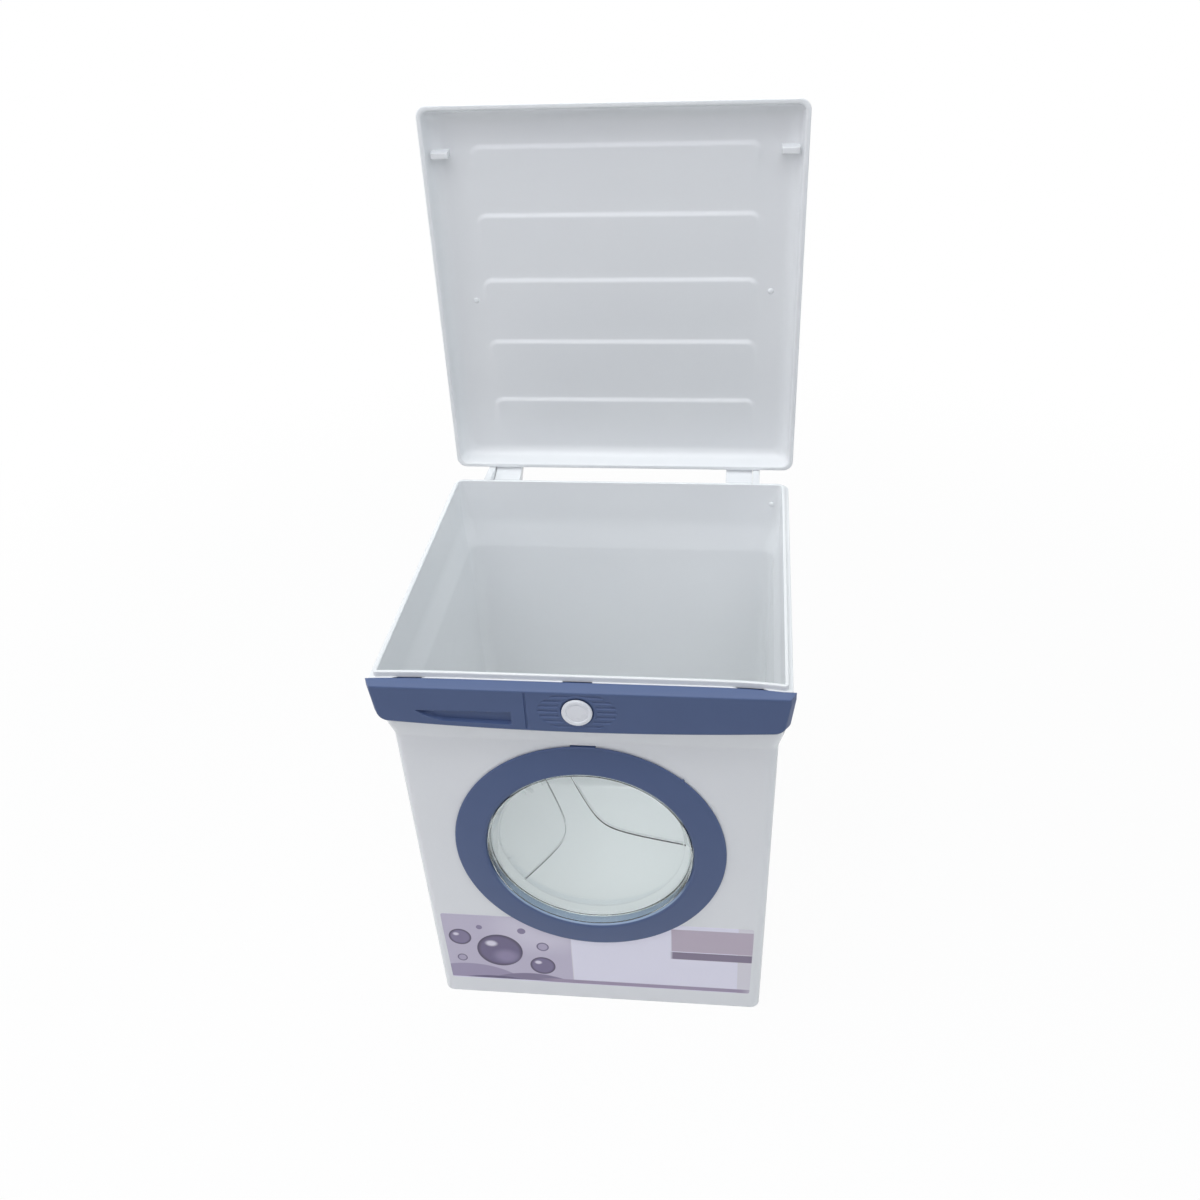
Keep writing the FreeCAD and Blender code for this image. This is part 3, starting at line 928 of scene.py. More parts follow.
@dataclass
class TubShell:
    """White tub: tapered walls round a window hole, shoulder, ledge, upstand and hinge ears.

    Each section is half width, front Y and back Y of the walls at one height. The cuts round the
    corners of the walls' path, from the foot up, over the rim and down to the floor.
    """

    face: FrontFace
    hinge: Hinge
    finish: bpy.types.Material
    base: tuple[float, float, float] = (93.8, -94.6, 94.2)
    shoulder: tuple[float, float, float] = (97.2, -97.2, 97.4)
    band: tuple[float, float, float] = (100.4, -101.0, 100.4)
    band_top: tuple[float, float, float] = (100.8, -102.6, 100.8)
    ledge: tuple[float, float, float] = (102.4, -103.2, 104.8)
    upstand: tuple[float, float, float] = (100.2, -102.5, 99.7)
    inner_band: tuple[float, float, float] = (97.9, -98.9, 97.6)
    band_z: float = 213.0
    ledge_thick: float = 2.2
    upstand_rise: float = 3.0
    upstand_wall: float = 1.8
    floor: float = 2.5
    shoulder_wall: float = 2.3
    shoulder_drop: float = 1.0
    foot_wall: float = 2.2
    edge_r: float = 5.0
    inner_r: float = 3.0
    inner_deep_r: float = 8.0
    inner_band_r: float = 6.0
    inner_band_rise: float = 3.0
    foot_cut: float = 1.5
    shoulder_cuts: tuple[float, float, float] = (1.4, 3.5, 0.3)
    ledge_cuts: tuple[float, float, float] = (0.35, 0.4, 0.35)
    rim_cut: float = 0.6
    inner_cuts: tuple[float, float, float] = (4.0, 2.2, 2.6)
    upstand_front_r: float = 2.0
    mouth_front_r: float = 0.8
    ledge_front_r: float = 1.0
    ledge_back_r: float = 6.5
    tall_run: float = 60.0
    wall_rows: int = 22
    window_top_z: float = 196.6
    ring_slot_z: tuple[float, float] = (196.8, 197.8)
    ring_slot_deep: float = 1.9
    ring_slot_step: float = 0.04
    window_r: float = 57.2
    wall: float = 2.26
    column_gap: float = 6.0
    side_columns: int = 25
    slots: LedgeSlots = field(default_factory=LedgeSlots)
    slot_back_y: float = -101.5
    slot_low_z: float = 230.6
    bow: FrontBow = field(default_factory=FrontBow)
    bowed_y: float = -90.0
    ear_x: tuple[float, float] = (81.0, 85.2)
    ear_tip_y: float = 132.0
    pin_r: float = 2.5
    pin_past: float = 0.8
    pin_root: float = 0.5
    knuckle_inner_x: float = 64.5
    gate_at: tuple[float, float, float] = (-24.0, -99.4, 208.0)
    gate_lean: float = 17.0
    bump_at: tuple[float, float, float] = (92.6, 97.4, 230.0)
    box: Span = field(init=False)

    def __post_init__(self) -> None:
        """Reads the tub's box."""
        self.box = Span.of("tub")

    @property
    def ledge_z(self) -> float:
        """Height of the ledge's top, which the closed lid stands over."""
        return float(self.box.high[2]) - self.upstand_rise

    def levels(self) -> tuple[Array, int]:
        """Levels of the shell from the middle of the underside, up, over the rim and down to the floor.

        Returns:
            The levels, and the row where the rim starts.
        """
        under = self.ledge_z - self.ledge_thick
        rim = self.ledge_z + self.upstand_rise
        r, inner_r = self.edge_r, self.inner_r
        front_r, back_r = self.ledge_front_r, self.ledge_back_r
        shoulder_z = self.face.shoulder_z
        mouth = inset(self.upstand, self.upstand_wall)
        foot = np.array((*self.base, r, r, 0.0))
        shoulder = np.array((*self.shoulder, r, r, shoulder_z))
        deep_r = self.inner_deep_r
        inner_z = shoulder_z - self.shoulder_drop
        inner_shoulder = np.array((*inset(self.shoulder, self.shoulder_wall), deep_r, deep_r, inner_z))
        inner_foot = np.array((*inset(self.base, self.foot_wall), deep_r, deep_r, self.floor))
        low, high = self.ring_slot_z
        turned_in = (low - self.ring_slot_step, low, high, high + self.ring_slot_step)
        straight = [part_way(foot, shoulder, z) for z in (self.window_top_z, *turned_in)]
        path = np.array(
            [
                (0.0, 0.0, 0.0, 0.0, 0.0, 0.0),
                foot,
                *straight,
                shoulder,
                (*self.band, r, r, self.band_z),
                (*self.band_top, r, r, under),
                (*self.ledge, front_r, back_r, under),
                (*self.ledge, front_r, back_r, self.ledge_z),
                (*self.upstand, self.upstand_front_r, r, self.ledge_z),
                (*self.upstand, self.upstand_front_r, r, rim),
                (*mouth, self.mouth_front_r, inner_r, rim),
                (
                    *self.inner_band,
                    self.inner_band_r,
                    self.inner_band_r,
                    self.band_z + self.inner_band_rise,
                ),
                inner_shoulder,
                part_way(inner_foot, inner_shoulder, self.window_top_z),
                inner_foot,
                (0.0, 0.0, 0.0, 0.0, 0.0, self.floor),
            ]
        )
        sharp = [0.0] * len(straight)
        cuts = [self.foot_cut, *sharp, *self.shoulder_cuts, *self.ledge_cuts, self.rim_cut, self.rim_cut]
        cuts += [*self.inner_cuts[:2], 0.0, self.inner_cuts[2]]
        levels = spread(soften(path, cuts, 5, SECTION), self.tall_run, self.wall_rows, (5,))
        return levels, int(np.argmax(levels[:, 5]))

    def window_rows(self, levels: Array, rim: int) -> tuple[slice, slice]:
        """Rows of the straight outer and inner wall that the window hole is let into.

        Args:
            levels: the shell's levels.
            rim: row where the rim starts.

        Returns:
            The outer rows and the inner rows.
        """
        rows = np.flatnonzero(levels[:, 5] < self.window_top_z + 0.01)
        outer = rows[rows < rim][-self.wall_rows - 1 :]
        inner = rows[rows > rim][: self.wall_rows + 1]
        return slice(outer[0], outer[-1] + 1), slice(inner[0], inner[-1] + 1)

    def cut_slots(self, grid: Array, levels: Array, rim: int, x: Array) -> None:
        """Sinks the panel's slots under the ledge and the ring's slot above the window, in place.

        Args:
            grid: points of the shell, whose first columns run along the front.
            levels: the shell's levels.
            rim: row where the rim starts.
            x: X of each front column on the ledge.
        """
        rows = np.arange(len(levels))
        z = levels[:, 5]
        rounding = self.ledge_cuts[2]
        lowest, highest = self.ledge_z - self.ledge_thick - 0.5, self.ledge_z + rounding + 0.01
        ledge = np.flatnonzero((rows < rim) & (z > lowest) & (z < highest))
        front, back, low = self.upstand[1], self.slot_back_y, self.slot_low_z
        path = np.array(
            [
                (front + rounding, low),
                (back, low + 0.6),
                (back, self.ledge_z - 0.7),
                (front, self.ledge_z - 0.25),
                (front, self.ledge_z + rounding),
            ]
        )
        length = np.concatenate([[0.0], np.cumsum(np.linalg.norm(np.diff(path, axis=0), axis=1))])
        places = np.linspace(0.0, length[-1], len(ledge))
        hollow = np.stack([np.interp(places, length, column) for column in path.T], axis=1)
        slack = 0.01
        columns = np.flatnonzero(self.slots.hold(x, slack))
        grid[np.ix_(ledge, columns, [1, 2])] = hollow[:, None, :]
        low, high = self.ring_slot_z
        sunk = np.flatnonzero((rows < rim) & (z > low - slack) & (z < high + slack))
        middle = np.flatnonzero(np.abs(x) < self.slots.width / 2 + slack)
        grid[np.ix_(sunk, middle, [1])] += self.ring_slot_deep

    def window_hole(self, outer: Array, inner: Array) -> Surface:
        """Front wall round the window hole, as one strip from the outer outline to the inner one.

        Each point of the wall's outline has a partner on the hole, in line with the hole's axis, and
        the strip runs straight to it, through the wall, and straight back to the inner outline.

        Args:
            outer: grid of the straight outer wall, lowest row first.
            inner: grid of the straight inner wall, lowest row first.

        Returns:
            The surface.
        """
        outline, inner_outline = border(outer), border(inner)
        axis = self.face.matrix[:3, 2]
        up = self.face.matrix[:3, 1]
        middle = self.face.matrix[:3, 3]
        x = outline[:, 0]
        v = (outline - middle) @ up
        angle = np.arctan2(v, x)
        away = np.cos(angle)[:, None] * (1.0, 0.0, 0.0) + np.sin(angle)[:, None] * up
        hole = middle + self.window_r * away
        share = np.linspace(0.0, 1.0, 9)[:, None, None]
        rows = [
            outline * (1 - share) + hole * share,
            (hole - axis * self.wall)[None],
            (hole - axis * self.wall) * (1 - share[1:]) + inner_outline * share[1:],
        ]
        return Surface.from_grid(np.concatenate(rows), around=True)

    def shell(self) -> Surface:
        """The tub's shell, with the notches in its ledge and the hole in its front wall.

        Returns:
            The closed shell.
        """
        levels, rim = self.levels()
        straight = self.ledge[0] - self.ledge_front_r
        columns = dense((-straight, straight), self.column_gap)
        across = self.slots.among(columns, gap=0.02, clear=1.0) / straight
        along = np.linspace(-1.0, 1.0, self.side_columns)
        grid = rounded_loops(levels, across, along, CORNER_TURNS)

        self.cut_slots(grid, levels, rim, across * straight)
        bow = self.bow.at(grid[..., 0], grid[..., 2])
        grid[..., 1] += np.where(grid[..., 1] < self.bowed_y, bow, 0.0)

        outer, inner = self.window_rows(levels, rim)
        columns = slice(0, len(across))
        keep = np.ones((len(levels) - 1, grid.shape[1]), bool)
        keep[outer.start : outer.stop - 1, : len(across) - 1] = False
        keep[inner.start : inner.stop - 1, : len(across) - 1] = False
        wall = self.window_hole(grid[outer, columns], grid[inner, columns][::-1])
        return Surface.joined([Surface.from_grid(grid, around=True, keep=keep), wall])

    def ear(self) -> Surface:
        """Right-hand hinge ear: a gusset behind the ledge with a stub pin and the open lid's stop.

        Returns:
            The ear with its pin.
        """
        y, z = self.hinge.y, self.hinge.z
        wall_y = self.band_top[2] - 0.6
        ledge_y = self.ledge[2]
        stop_z = self.ledge_z - 1.6
        outline = np.array(
            [
                (wall_y, z - 18.0),
                (y + 2.0, z - 7.5),
                (self.ear_tip_y, stop_z - 3.0),
                (self.ear_tip_y, stop_z),
                (ledge_y + 19.0, stop_z),
                (ledge_y + 1.0, self.ledge_z - 0.4),
                (ledge_y - 1.0, self.ledge_z - 0.4),
                (wall_y, self.ledge_z - 1.7),
            ]
        )
        plate = slab(outline, self.ear_x, (0.3, 3.0, 1.2, 1.0, 2.0, 0.5, 0.3, 0.3), 0.5)
        tip_x = self.knuckle_inner_x - self.pin_past
        length = self.ear_x[0] + self.pin_root - tip_x
        profile = np.array([(0.0, 0.0), (self.pin_r, 0.0), (self.pin_r, length), (0.0, length)])
        rod = turned(soften(profile, (0.5, 0.0), 3), even_angles(32))
        pin = Surface.from_grid(rod, around=True).placed(placing((tip_x, y, z), 90.0, "Y"))
        return Surface.joined([plate, pin])

    def marks(self) -> Surface:
        """Moulding marks: the gate's nub on the shoulder and a small bump in a corner of the mouth."""
        gate = dome(1.3, 0.5).placed(placing(self.gate_at, 90.0 + self.gate_lean, "X"))
        bump = dome(1.4, 0.6).placed(placing(self.bump_at, 90.0, "X"))
        return Surface.joined([gate, bump])

    def build(self) -> bpy.types.Object:
        """Makes the tub."""
        ear = self.ear()
        surface = Surface.joined([self.shell(), ear, ear.mirrored(), self.marks()])
        return make_piece("tub_shell", surface, self.finish, "tub", "tub")


def part_way(low: Array, high: Array, z: float) -> Array:
    """Level at a height on the straight run between two levels."""
    share = (z - low[5]) / (high[5] - low[5])
    return low + (high - low) * share


def inset(section: tuple[float, float, float], amount: float) -> tuple[float, float, float]:
    """Section of half width, front Y and back Y, moved inwards on all four sides."""
    half, front, back = section
    return (half - amount, front + amount, back - amount)


# ---------------------------------------------------------------- lid
@dataclass
class LidShell:
    """White lid: skirt, rounded shoulders, a plate pressed into louver steps, tabs and knuckles.

    The section is half width, front Y and back Y of its rim. Each point of a side is a distance in
    from the rim's outer or inner edge and a height above it.
    """

    hinge: Hinge
    ledge_z: float
    finish: bpy.types.Material
    section: tuple[float, float, float] = (105.4, -108.0, 105.6)
    rest_gap: float = 0.2
    corner_r: float = 6.0
    inner_corner_r: float = 4.4
    deep: float = 10.5
    skin: float = 1.8
    lip: float = 2.6
    outer_side: tuple[tuple[float, float], ...] = (
        (0.0, 0.0),
        (1.1, 6.0),
        (2.0, 8.6),
        (3.6, 10.6),
        (5.8, 11.8),
    )
    inner_side: tuple[tuple[float, float], ...] = ((1.2, 5.2), (2.2, 7.6), (4.0, 9.4))
    flat_inset: float = 9.6
    plate_inset: float = 12.4
    louver_half: float = 79.4
    louver_x: float = 0.5
    louver_first: float = 42.0
    louver_pitch: float = 37.0
    louver_count: int = 5
    louver_rise: float = 1.05
    louver_run: float = 33.0
    louver_corner: float = 5.0
    louver_slope: float = 3.2
    louver_fade: float = 0.5
    tab_from_front: float = 28.2
    tab_x: tuple[float, float] = (91.0, 100.4)
    tab_tip: float = 3.3
    tab_root: float = 3.8
    tab_heel: float = 3.4
    tab_heel_root: float = -2.7
    tab_foot: float = 0.6
    tab_drop: float = 3.2
    tab_wall_gap: float = 0.8
    knuckle_x: tuple[float, float] = (64.5, 80.6)
    knuckle_r: float = 5.3
    bore_r: float = 2.58
    nub_at: tuple[tuple[float, float], ...] = ((-84.5, 104.0), (88.0, 109.0))

    @property
    def rim_z(self) -> float:
        """Height of the closed lid's rim."""
        return self.ledge_z + self.rest_gap

    def ridges(self) -> Array:
        """Y of each louver's ridge in the closed lid, from the rear."""
        return self.section[2] - self.louver_first - self.louver_pitch * np.arange(self.louver_count)

    def louver_depth(self, x: Array, y: Array) -> Array:
        """How far the plate is pressed down at each place.

        Each louver is a ramp that falls from its ridge to nothing over its run, times a smooth edge
        round a rectangle with rounded corners that is open towards the rear. The edge grows softer
        away from the ridge.

        Args:
            x: X of each place on the plate.
            y: Y of each place on the plate.

        Returns:
            Depth at each place.
        """
        depth = np.zeros(np.broadcast(x, y).shape)
        for ridge in self.ridges():
            ramp = np.clip(1.0 - (y - ridge) / self.louver_run, 0.0, 1.0)
            qx = np.abs(x - self.louver_x) - (self.louver_half - self.louver_corner)
            qy = ridge + self.louver_corner - y
            outside = np.hypot(np.maximum(qx, 0.0), np.maximum(qy, 0.0))
            inside = self.louver_corner - outside - np.minimum(np.maximum(qx, qy), 0.0)
            slope = self.louver_slope + self.louver_fade * np.maximum(y - ridge - self.louver_corner, 0.0)
            depth += self.louver_rise * ramp * smooth_step(0.5 + inside / slope)
        return depth

    def shell(self) -> Surface:
        """Skirt and plate of the closed lid.

        Returns:
            The closed skirt and plate.
        """
        rim = self.rim_z
        under = rim + self.deep
        top = under + self.skin
        r, inner_r = self.corner_r, self.inner_corner_r
        inner = [(self.lip + side, inner_r, rim + z) for side, z in self.inner_side[::-1]]
        outer = [(side, r, rim + z) for side, z in self.outer_side]
        path = [
            (self.plate_inset, 0.0, under),
            (self.flat_inset, inner_r, under),
            *inner,
            (self.lip, inner_r, rim),
            *outer,
            (self.flat_inset - 1.0, r, top),
            (self.plate_inset, 0.0, top),
        ]
        cuts = [1.5] + [1.2] * len(inner) + [0.7, 0.9] + [1.2] * (len(outer) - 1) + [1.5]
        path = [(*inset(self.section, side), corner, corner, z) for side, corner, z in path]
        levels = soften(np.array(path), cuts, 4, SECTION)

        half, front, back = inset(self.section, self.plate_inset)
        fine = (self.louver_half - self.louver_corner - 2.0, self.louver_half + 2.0, 0.5)
        x = dense((-half, half), 7.0, fine, (-fine[1], -fine[0], fine[2]))
        zones = [(ridge - 2.0, ridge + self.louver_corner + 2.0, 0.5) for ridge in self.ridges()]
        y = dense((front, back), 5.0, *zones)
        along = (y - (front + back) / 2.0) / ((back - front) / 2.0)
        grid = rounded_loops(levels, x / half, along, CORNER_TURNS)
        side = Surface.from_grid(grid, around=True)

        plate_x, plate_y = np.meshgrid(x, y)
        depth = self.louver_depth(plate_x, plate_y)
        lower = Surface.from_grid(np.stack([plate_x, plate_y, under - depth], axis=-1)).flipped()
        upper = Surface.from_grid(np.stack([plate_x, plate_y, top - depth], axis=-1))
        return Surface.joined([side, lower, upper])

    def tab(self) -> Surface:
        """Right-hand tab in the corner of the skirt, which the closed lid rests on.

        Returns:
            The tab and its heel.
        """
        back_y = self.section[1] + self.tab_from_front
        root_z = self.rim_z + self.deep + self.tab_foot
        tip_z = self.rim_z + self.tab_drop
        outline = np.array(
            [
                (back_y - self.tab_root, root_z),
                (back_y - self.tab_tip, tip_z),
                (back_y, tip_z),
                (back_y, root_z),
            ]
        )
        root, high = self.tab_heel_root, self.tab_heel
        heel = outline + ((0.0, root), (0.4, high), (-0.4, high), (0.0, root))
        wall_x = self.section[0] - self.lip - self.tab_wall_gap
        corners, edge = (0.3, 0.5, 0.4, 0.3), 0.3
        tip = slab(outline, self.tab_x, corners, edge)
        return Surface.joined([tip, slab(heel, (self.tab_x[1] - 1.0, wall_x), corners, edge)])

    def knuckle(self) -> Surface:
        """Right-hand hinge knuckle: a bored barrel and the web that joins it to the rear skirt.

        Returns:
            The barrel and its web.
        """
        y, z = self.hinge.y, self.hinge.z
        rim = self.rim_z
        back = self.section[2]
        skirt = back - 1.2
        outline = np.array(
            [
                (skirt, rim + 4.2),
                (back + 1.7, rim + 1.2),
                (back + 3.1, rim - 3.0),
                (y - self.knuckle_r * 0.9, z + 1.6),
                (y, z + self.bore_r + 0.3),
                (y + 4.2, z + self.knuckle_r * 0.6),
                (back + 8.0, rim + 2.4),
                (back + 2.6, rim + 9.2),
                (skirt, rim + 10.2),
            ]
        )
        web = slab(outline, self.knuckle_x, (0.3, 1.5, 1.0, 0.5, 0.0, 0.8, 2.5, 1.0, 0.3), 0.4)
        length = self.knuckle_x[1] - self.knuckle_x[0]
        r, bore = self.knuckle_r, self.bore_r
        profile = np.array([(bore, 0.0), (r, 0.0), (r, length), (bore, length)])
        barrel = turned(soften_ring(profile, (0.3, 0.5, 0.5, 0.3), 3), even_angles(48))
        along_x = placing((self.knuckle_x[0], y, z), 90.0, "Y")
        return Surface.joined([web, Surface.from_grid(barrel, around=True).placed(along_x)])

    def nubs(self) -> Surface:
        """Two small ejector nubs beside the louvers."""
        under = self.rim_z + self.deep
        places = [(x, self.section[2] - from_rear, under) for x, from_rear in self.nub_at]
        return Surface.joined([dome(1.7, 0.8).placed(placing(place, 180.0, "X")) for place in places])

    def build(self) -> bpy.types.Object:
        """Makes the lid in its open pose.

        Returns:
            The lid's piece.
        """
        tab, knuckle = self.tab(), self.knuckle()
        parts = [self.shell(), tab, tab.mirrored(), knuckle, knuckle.mirrored(), self.nubs()]
        surface = Surface.joined(parts).placed(self.hinge.opening)
        return make_piece("lid_shell", surface, self.finish, "lid", "lid")


# ---------------------------------------------------------------- control panel and knob
class PanelLevel(NamedTuple):
    """Outline of the control panel at one depth."""

    y: float
    top_x: float
    top_z: float
    low_z: float
    corner: float


@dataclass
class ControlPanel:
    """Slate blue panel: bevelled top and ends, bowed lower edge, drawer grip, drawer line, grooves.

    Each column zone is a stretch of its width that a recess or hook crosses: start, end and spacing.
    """

    knob: Span
    finish: bpy.types.Material
    ledge: tuple[float, float] = (102.4, -103.2)
    ledge_thick: float = 2.3
    tuck: float = 0.2
    drop: float = 1.7
    edge_band: float = 3.0
    end_bevel: float = 2.6
    end_taper: float = 1.8
    end_straight: float = 4.0
    end_from: float = 82.0
    low_z: float = 217.2
    corner_r: float = 5.5
    sag: float = 3.1
    step: float = 0.6
    skirt_back: float = -101.2
    wrap_back: float = -98.2
    wrap_from: float = 100.2
    wrap_run: float = 0.6
    line_x: float = -25.2
    line_w: float = 0.8
    grip_tip: tuple[float, float] = (-79.6, 224.4)
    grip_bend: tuple[float, float] = (-73.3, 220.7)
    grip_heel: tuple[float, float] = (-66.5, 218.9)
    grip_right: tuple[float, float, float] = (-32.8, 217.8, 224.9)
    grip_deep: float = 2.2
    groove_field: tuple[float, float] = (19.2, 11.5)
    groove_land_r: float = 9.5
    pocket_r: float = 8.0
    pocket_deep: float = 1.1
    groove_pitch: float = 3.0
    groove_count: int = 7
    groove_w: float = 1.3
    groove_deep: float = 0.6
    recess_edge: float = 0.5
    crisp_edge: float = 0.4
    column_gap: float = 4.0
    column_zones: tuple[tuple[float, float, float], ...] = (
        (-81.0, -64.0, 0.3),
        (-63.6, -36.0, 0.8),
        (-34.0, -32.0, 0.2),
        (-27.0, -23.4, 0.2),
        (-20.4, -5.4, 0.3),
        (-5.0, 5.0, 0.5),
        (5.4, 20.4, 0.3),
    )
    front_rows: int = 92
    corner_columns: int = 8
    slots: LedgeSlots = field(default_factory=LedgeSlots)
    slot_deep: float = 8.0
    hook_y: tuple[float, float] = (-102.1, -101.55)
    hook_low: float = 0.75
    hook_long: float = 8.6
    hook_slant: float = 0.2
    hook_play: float = 0.05
    bow: FrontBow = field(default_factory=FrontBow)
    box: Span = field(init=False)

    def __post_init__(self) -> None:
        """Reads the panel's box."""
        self.box = Span.of("control_panel")

    @property
    def bow_half(self) -> float:
        """Half width of the lower edge's bow, between its corners, at the front."""
        return float(self.box.high[0]) - self.end_bevel - self.end_taper - self.corner_r

    def levels(self) -> Array:
        """Outlines from the edge of the flat front, over the bevel, back to the skirt's rear edge.

        Returns:
            The levels, the front's edge first.
        """
        front = float(self.box.low[1])
        half = float(self.box.high[0])
        top = float(self.box.high[2])
        r = self.corner_r
        band = self.edge_band
        bevelled, dropped = half - self.end_bevel, top - self.drop
        tucked = self.ledge[0] - self.tuck
        under = top - self.ledge_thick
        path = [
            PanelLevel(front, bevelled - band, dropped - band, self.low_z + band, r - band),
            PanelLevel(front, bevelled, dropped, self.low_z, r),
            PanelLevel(self.ledge[1], half, top, self.low_z, r),
            PanelLevel(self.ledge[1] + 0.01, tucked, under, self.low_z + self.step, r),
            PanelLevel(self.skirt_back, tucked, under, self.low_z + self.step, r),
        ]
        return soften(np.array(path), (0.7, 0.35, 0.0), 4, (0, 2))[1:]

    def columns(self) -> Array:
        """X of the columns along the straight lower edge, closer together where a recess is cut."""
        straight = self.bow_half
        places = dense((-straight, straight), self.column_gap, *self.column_zones)
        return self.slots.among(places, gap=0.05, clear=0.1)

    def sheet(self, level: Array, column: Array, turn: Array, rise: Array) -> Array:
        """Points of one outline's sheet.

        A column starts on the lower edge: on the bow, whose height is low - sag (1 - x x / h h), or
        on a corner's arc. It ends on the top edge, and leans outwards near the ends of the panel.

        Args:
            level: depth, half width and top, lower edge's height and corner radius.
            column: X of each column within the bow, at the front's own width.
            turn: signed angle of each column's place on a corner's arc, or 0.
            rise: share of the way from the lower edge to the top.

        Returns:
            Points with the shape of the inputs, by three.
        """
        y, top_x, top_z, low_z, corner = level
        low_x = top_x - self.end_taper
        half = low_x - corner
        x = column * half / self.bow_half + corner * np.sin(turn)
        bow = self.sag * (1.0 - np.clip(x / half, -1.0, 1.0) ** 2)
        foot = low_z - bow + corner * (1.0 - np.cos(turn))
        z = foot + rise * (top_z - foot)
        bend_z = low_z + corner
        lean = np.clip((z - bend_z) / (top_z - self.end_straight - bend_z), 0.0, 1.0) * self.end_taper
        weight = np.clip((np.abs(x) - self.end_from) / (low_x - self.end_from), 0.0, 1.0) ** 2
        return np.stack([x + np.sign(x) * lean * weight, y + 0 * x, z], axis=-1)

    def grip_inside(self, x: Array, z: Array) -> Array:
        """Distance inside the boat-shaped drawer grip: straight top, right end and keel, round bow.

        Args:
            x: X of each place on the front.
            z: Z of each place on the front.

        Returns:
            Distances, negative outside the grip.
        """
        right, low_z, high_z = self.grip_right
        tip, heel, bend = (np.array(point) for point in (self.grip_tip, self.grip_heel, self.grip_bend))

        def beside(start: Array, end: Array) -> Array:
            """Distance to the left of the line from start to end."""
            run = (end - start) / np.linalg.norm(end - start)
            return run[0] * (z - start[1]) - run[1] * (x - start[0])

        top = beside(np.array((right, high_z)), tip)
        keel = beside(heel, np.array((right, low_z)))
        rows = 2.0 * np.array([bend - heel, tip - heel])
        centre = np.linalg.solve(rows, [bend @ bend - heel @ heel, tip @ tip - heel @ heel])
        bow = np.linalg.norm(tip - centre) - np.hypot(x - centre[0], z - centre[1])
        bow = np.where(x < heel[0], bow, np.inf)
        keel = np.where(x < heel[0], np.inf, keel)
        return np.minimum(np.minimum(top, right - x), np.minimum(keel, bow))

    def recess(self, x: Array, z: Array) -> Array:
        """Depth of the front below its plane: grip, drawer line, knob's pocket and field of grooves.

        Args:
            x: X of each place on the front.
            z: Z of each place on the front.

        Returns:
            Depth at each place.
        """
        edge, crisp = self.recess_edge, self.crisp_edge
        grip = self.grip_deep * smooth_step(0.5 + self.grip_inside(x, z) / edge)
        beside = self.line_w / 2 - np.abs(x - self.line_x)
        line = self.groove_deep * smooth_step(0.5 + beside / crisp)
        knob_x, _, knob_z = self.knob.centre
        away = np.hypot(x - knob_x, z - knob_z)
        half_x, half_z = self.groove_field
        oval = np.hypot(x - knob_x, (z - knob_z) * half_x / half_z)
        field_mask = smooth_step(0.5 + (half_x - oval) / edge)
        field_mask *= smooth_step(0.5 + (away - self.groove_land_r) / edge)
        index = np.round((z - knob_z) / self.groove_pitch)
        index = np.clip(index, -(self.groove_count // 2), self.groove_count // 2)
        off = np.abs(z - knob_z - index * self.groove_pitch)
        grooves = self.groove_deep * field_mask * smooth_step(0.5 + (self.groove_w / 2 - off) / edge)
        pocket = self.pocket_deep * smooth_step(0.5 + (self.pocket_r - away) / crisp)
        return np.maximum(np.maximum(grip, line), np.maximum(grooves, pocket))

    def surface(self) -> Surface:
        """The closed panel: a finely divided front, the bevels and skirt round it, and a folded back.

        Returns:
            The panel with its hooks.
        """
        levels = self.levels()
        bow = self.columns()
        turns = self.corner_columns
        arc = np.radians(np.linspace(0.0, 90.0, turns + 1)[1:])
        column = np.concatenate([np.full(turns, bow[0]), bow, np.full(turns, bow[-1])])
        turn = np.concatenate([-arc[::-1], np.zeros(len(bow)), arc])
        rise = np.linspace(0.0, 1.0, self.front_rows)
        column, rise_grid = np.meshgrid(column, rise)
        turn = np.broadcast_to(turn, column.shape)
        front = self.sheet(levels[0], column, turn, rise_grid)
        # The recesses fade out over the last thirtieth of the height, at the top and at the bottom.
        inner = smooth_step(np.minimum(rise_grid, 1.0 - rise_grid) * 30.0)
        front[..., 1] += self.recess(front[..., 0], front[..., 2]) * inner

        edge = [border(values[..., None])[:, 0] for values in (column, turn, rise_grid)]
        loops = np.stack([self.sheet(level, *edge) for level in levels])
        on_top = edge[2] > 0.999
        in_slot = self.slots.hold(loops[0, :, 0], 0.03)
        skirt = np.arange(len(levels)) >= len(levels) - 2
        notch = np.ix_(skirt, np.flatnonzero(on_top & in_slot), [2])
        loops[notch] -= self.slot_deep
        wrapped = smooth_step((np.abs(loops[-1, :, 0]) - self.wrap_from) / self.wrap_run)
        loops[-1, :, 1] += (self.wrap_back - self.skirt_back) * wrapped
        share = (loops[..., 1] - self.box.low[1]) / (self.ledge[1] - self.box.low[1])
        loops[..., 1] += self.bow.at(loops[..., 0], loops[..., 2]) * smooth_step(share)
        spine = loops[-1].copy()
        spine[:, 2] = self.low_z + self.corner_r + 1.0
        spine[:, 0] = self.sheet(levels[-1], edge[0], edge[1], 0.5 + 0 * edge[2])[:, 0]
        ring = Surface.from_grid(np.concatenate([loops, spine[None]]), around=True).flipped()
        return Surface.joined([Surface.from_grid(front), ring, *map(self.hook, self.slots.x)])

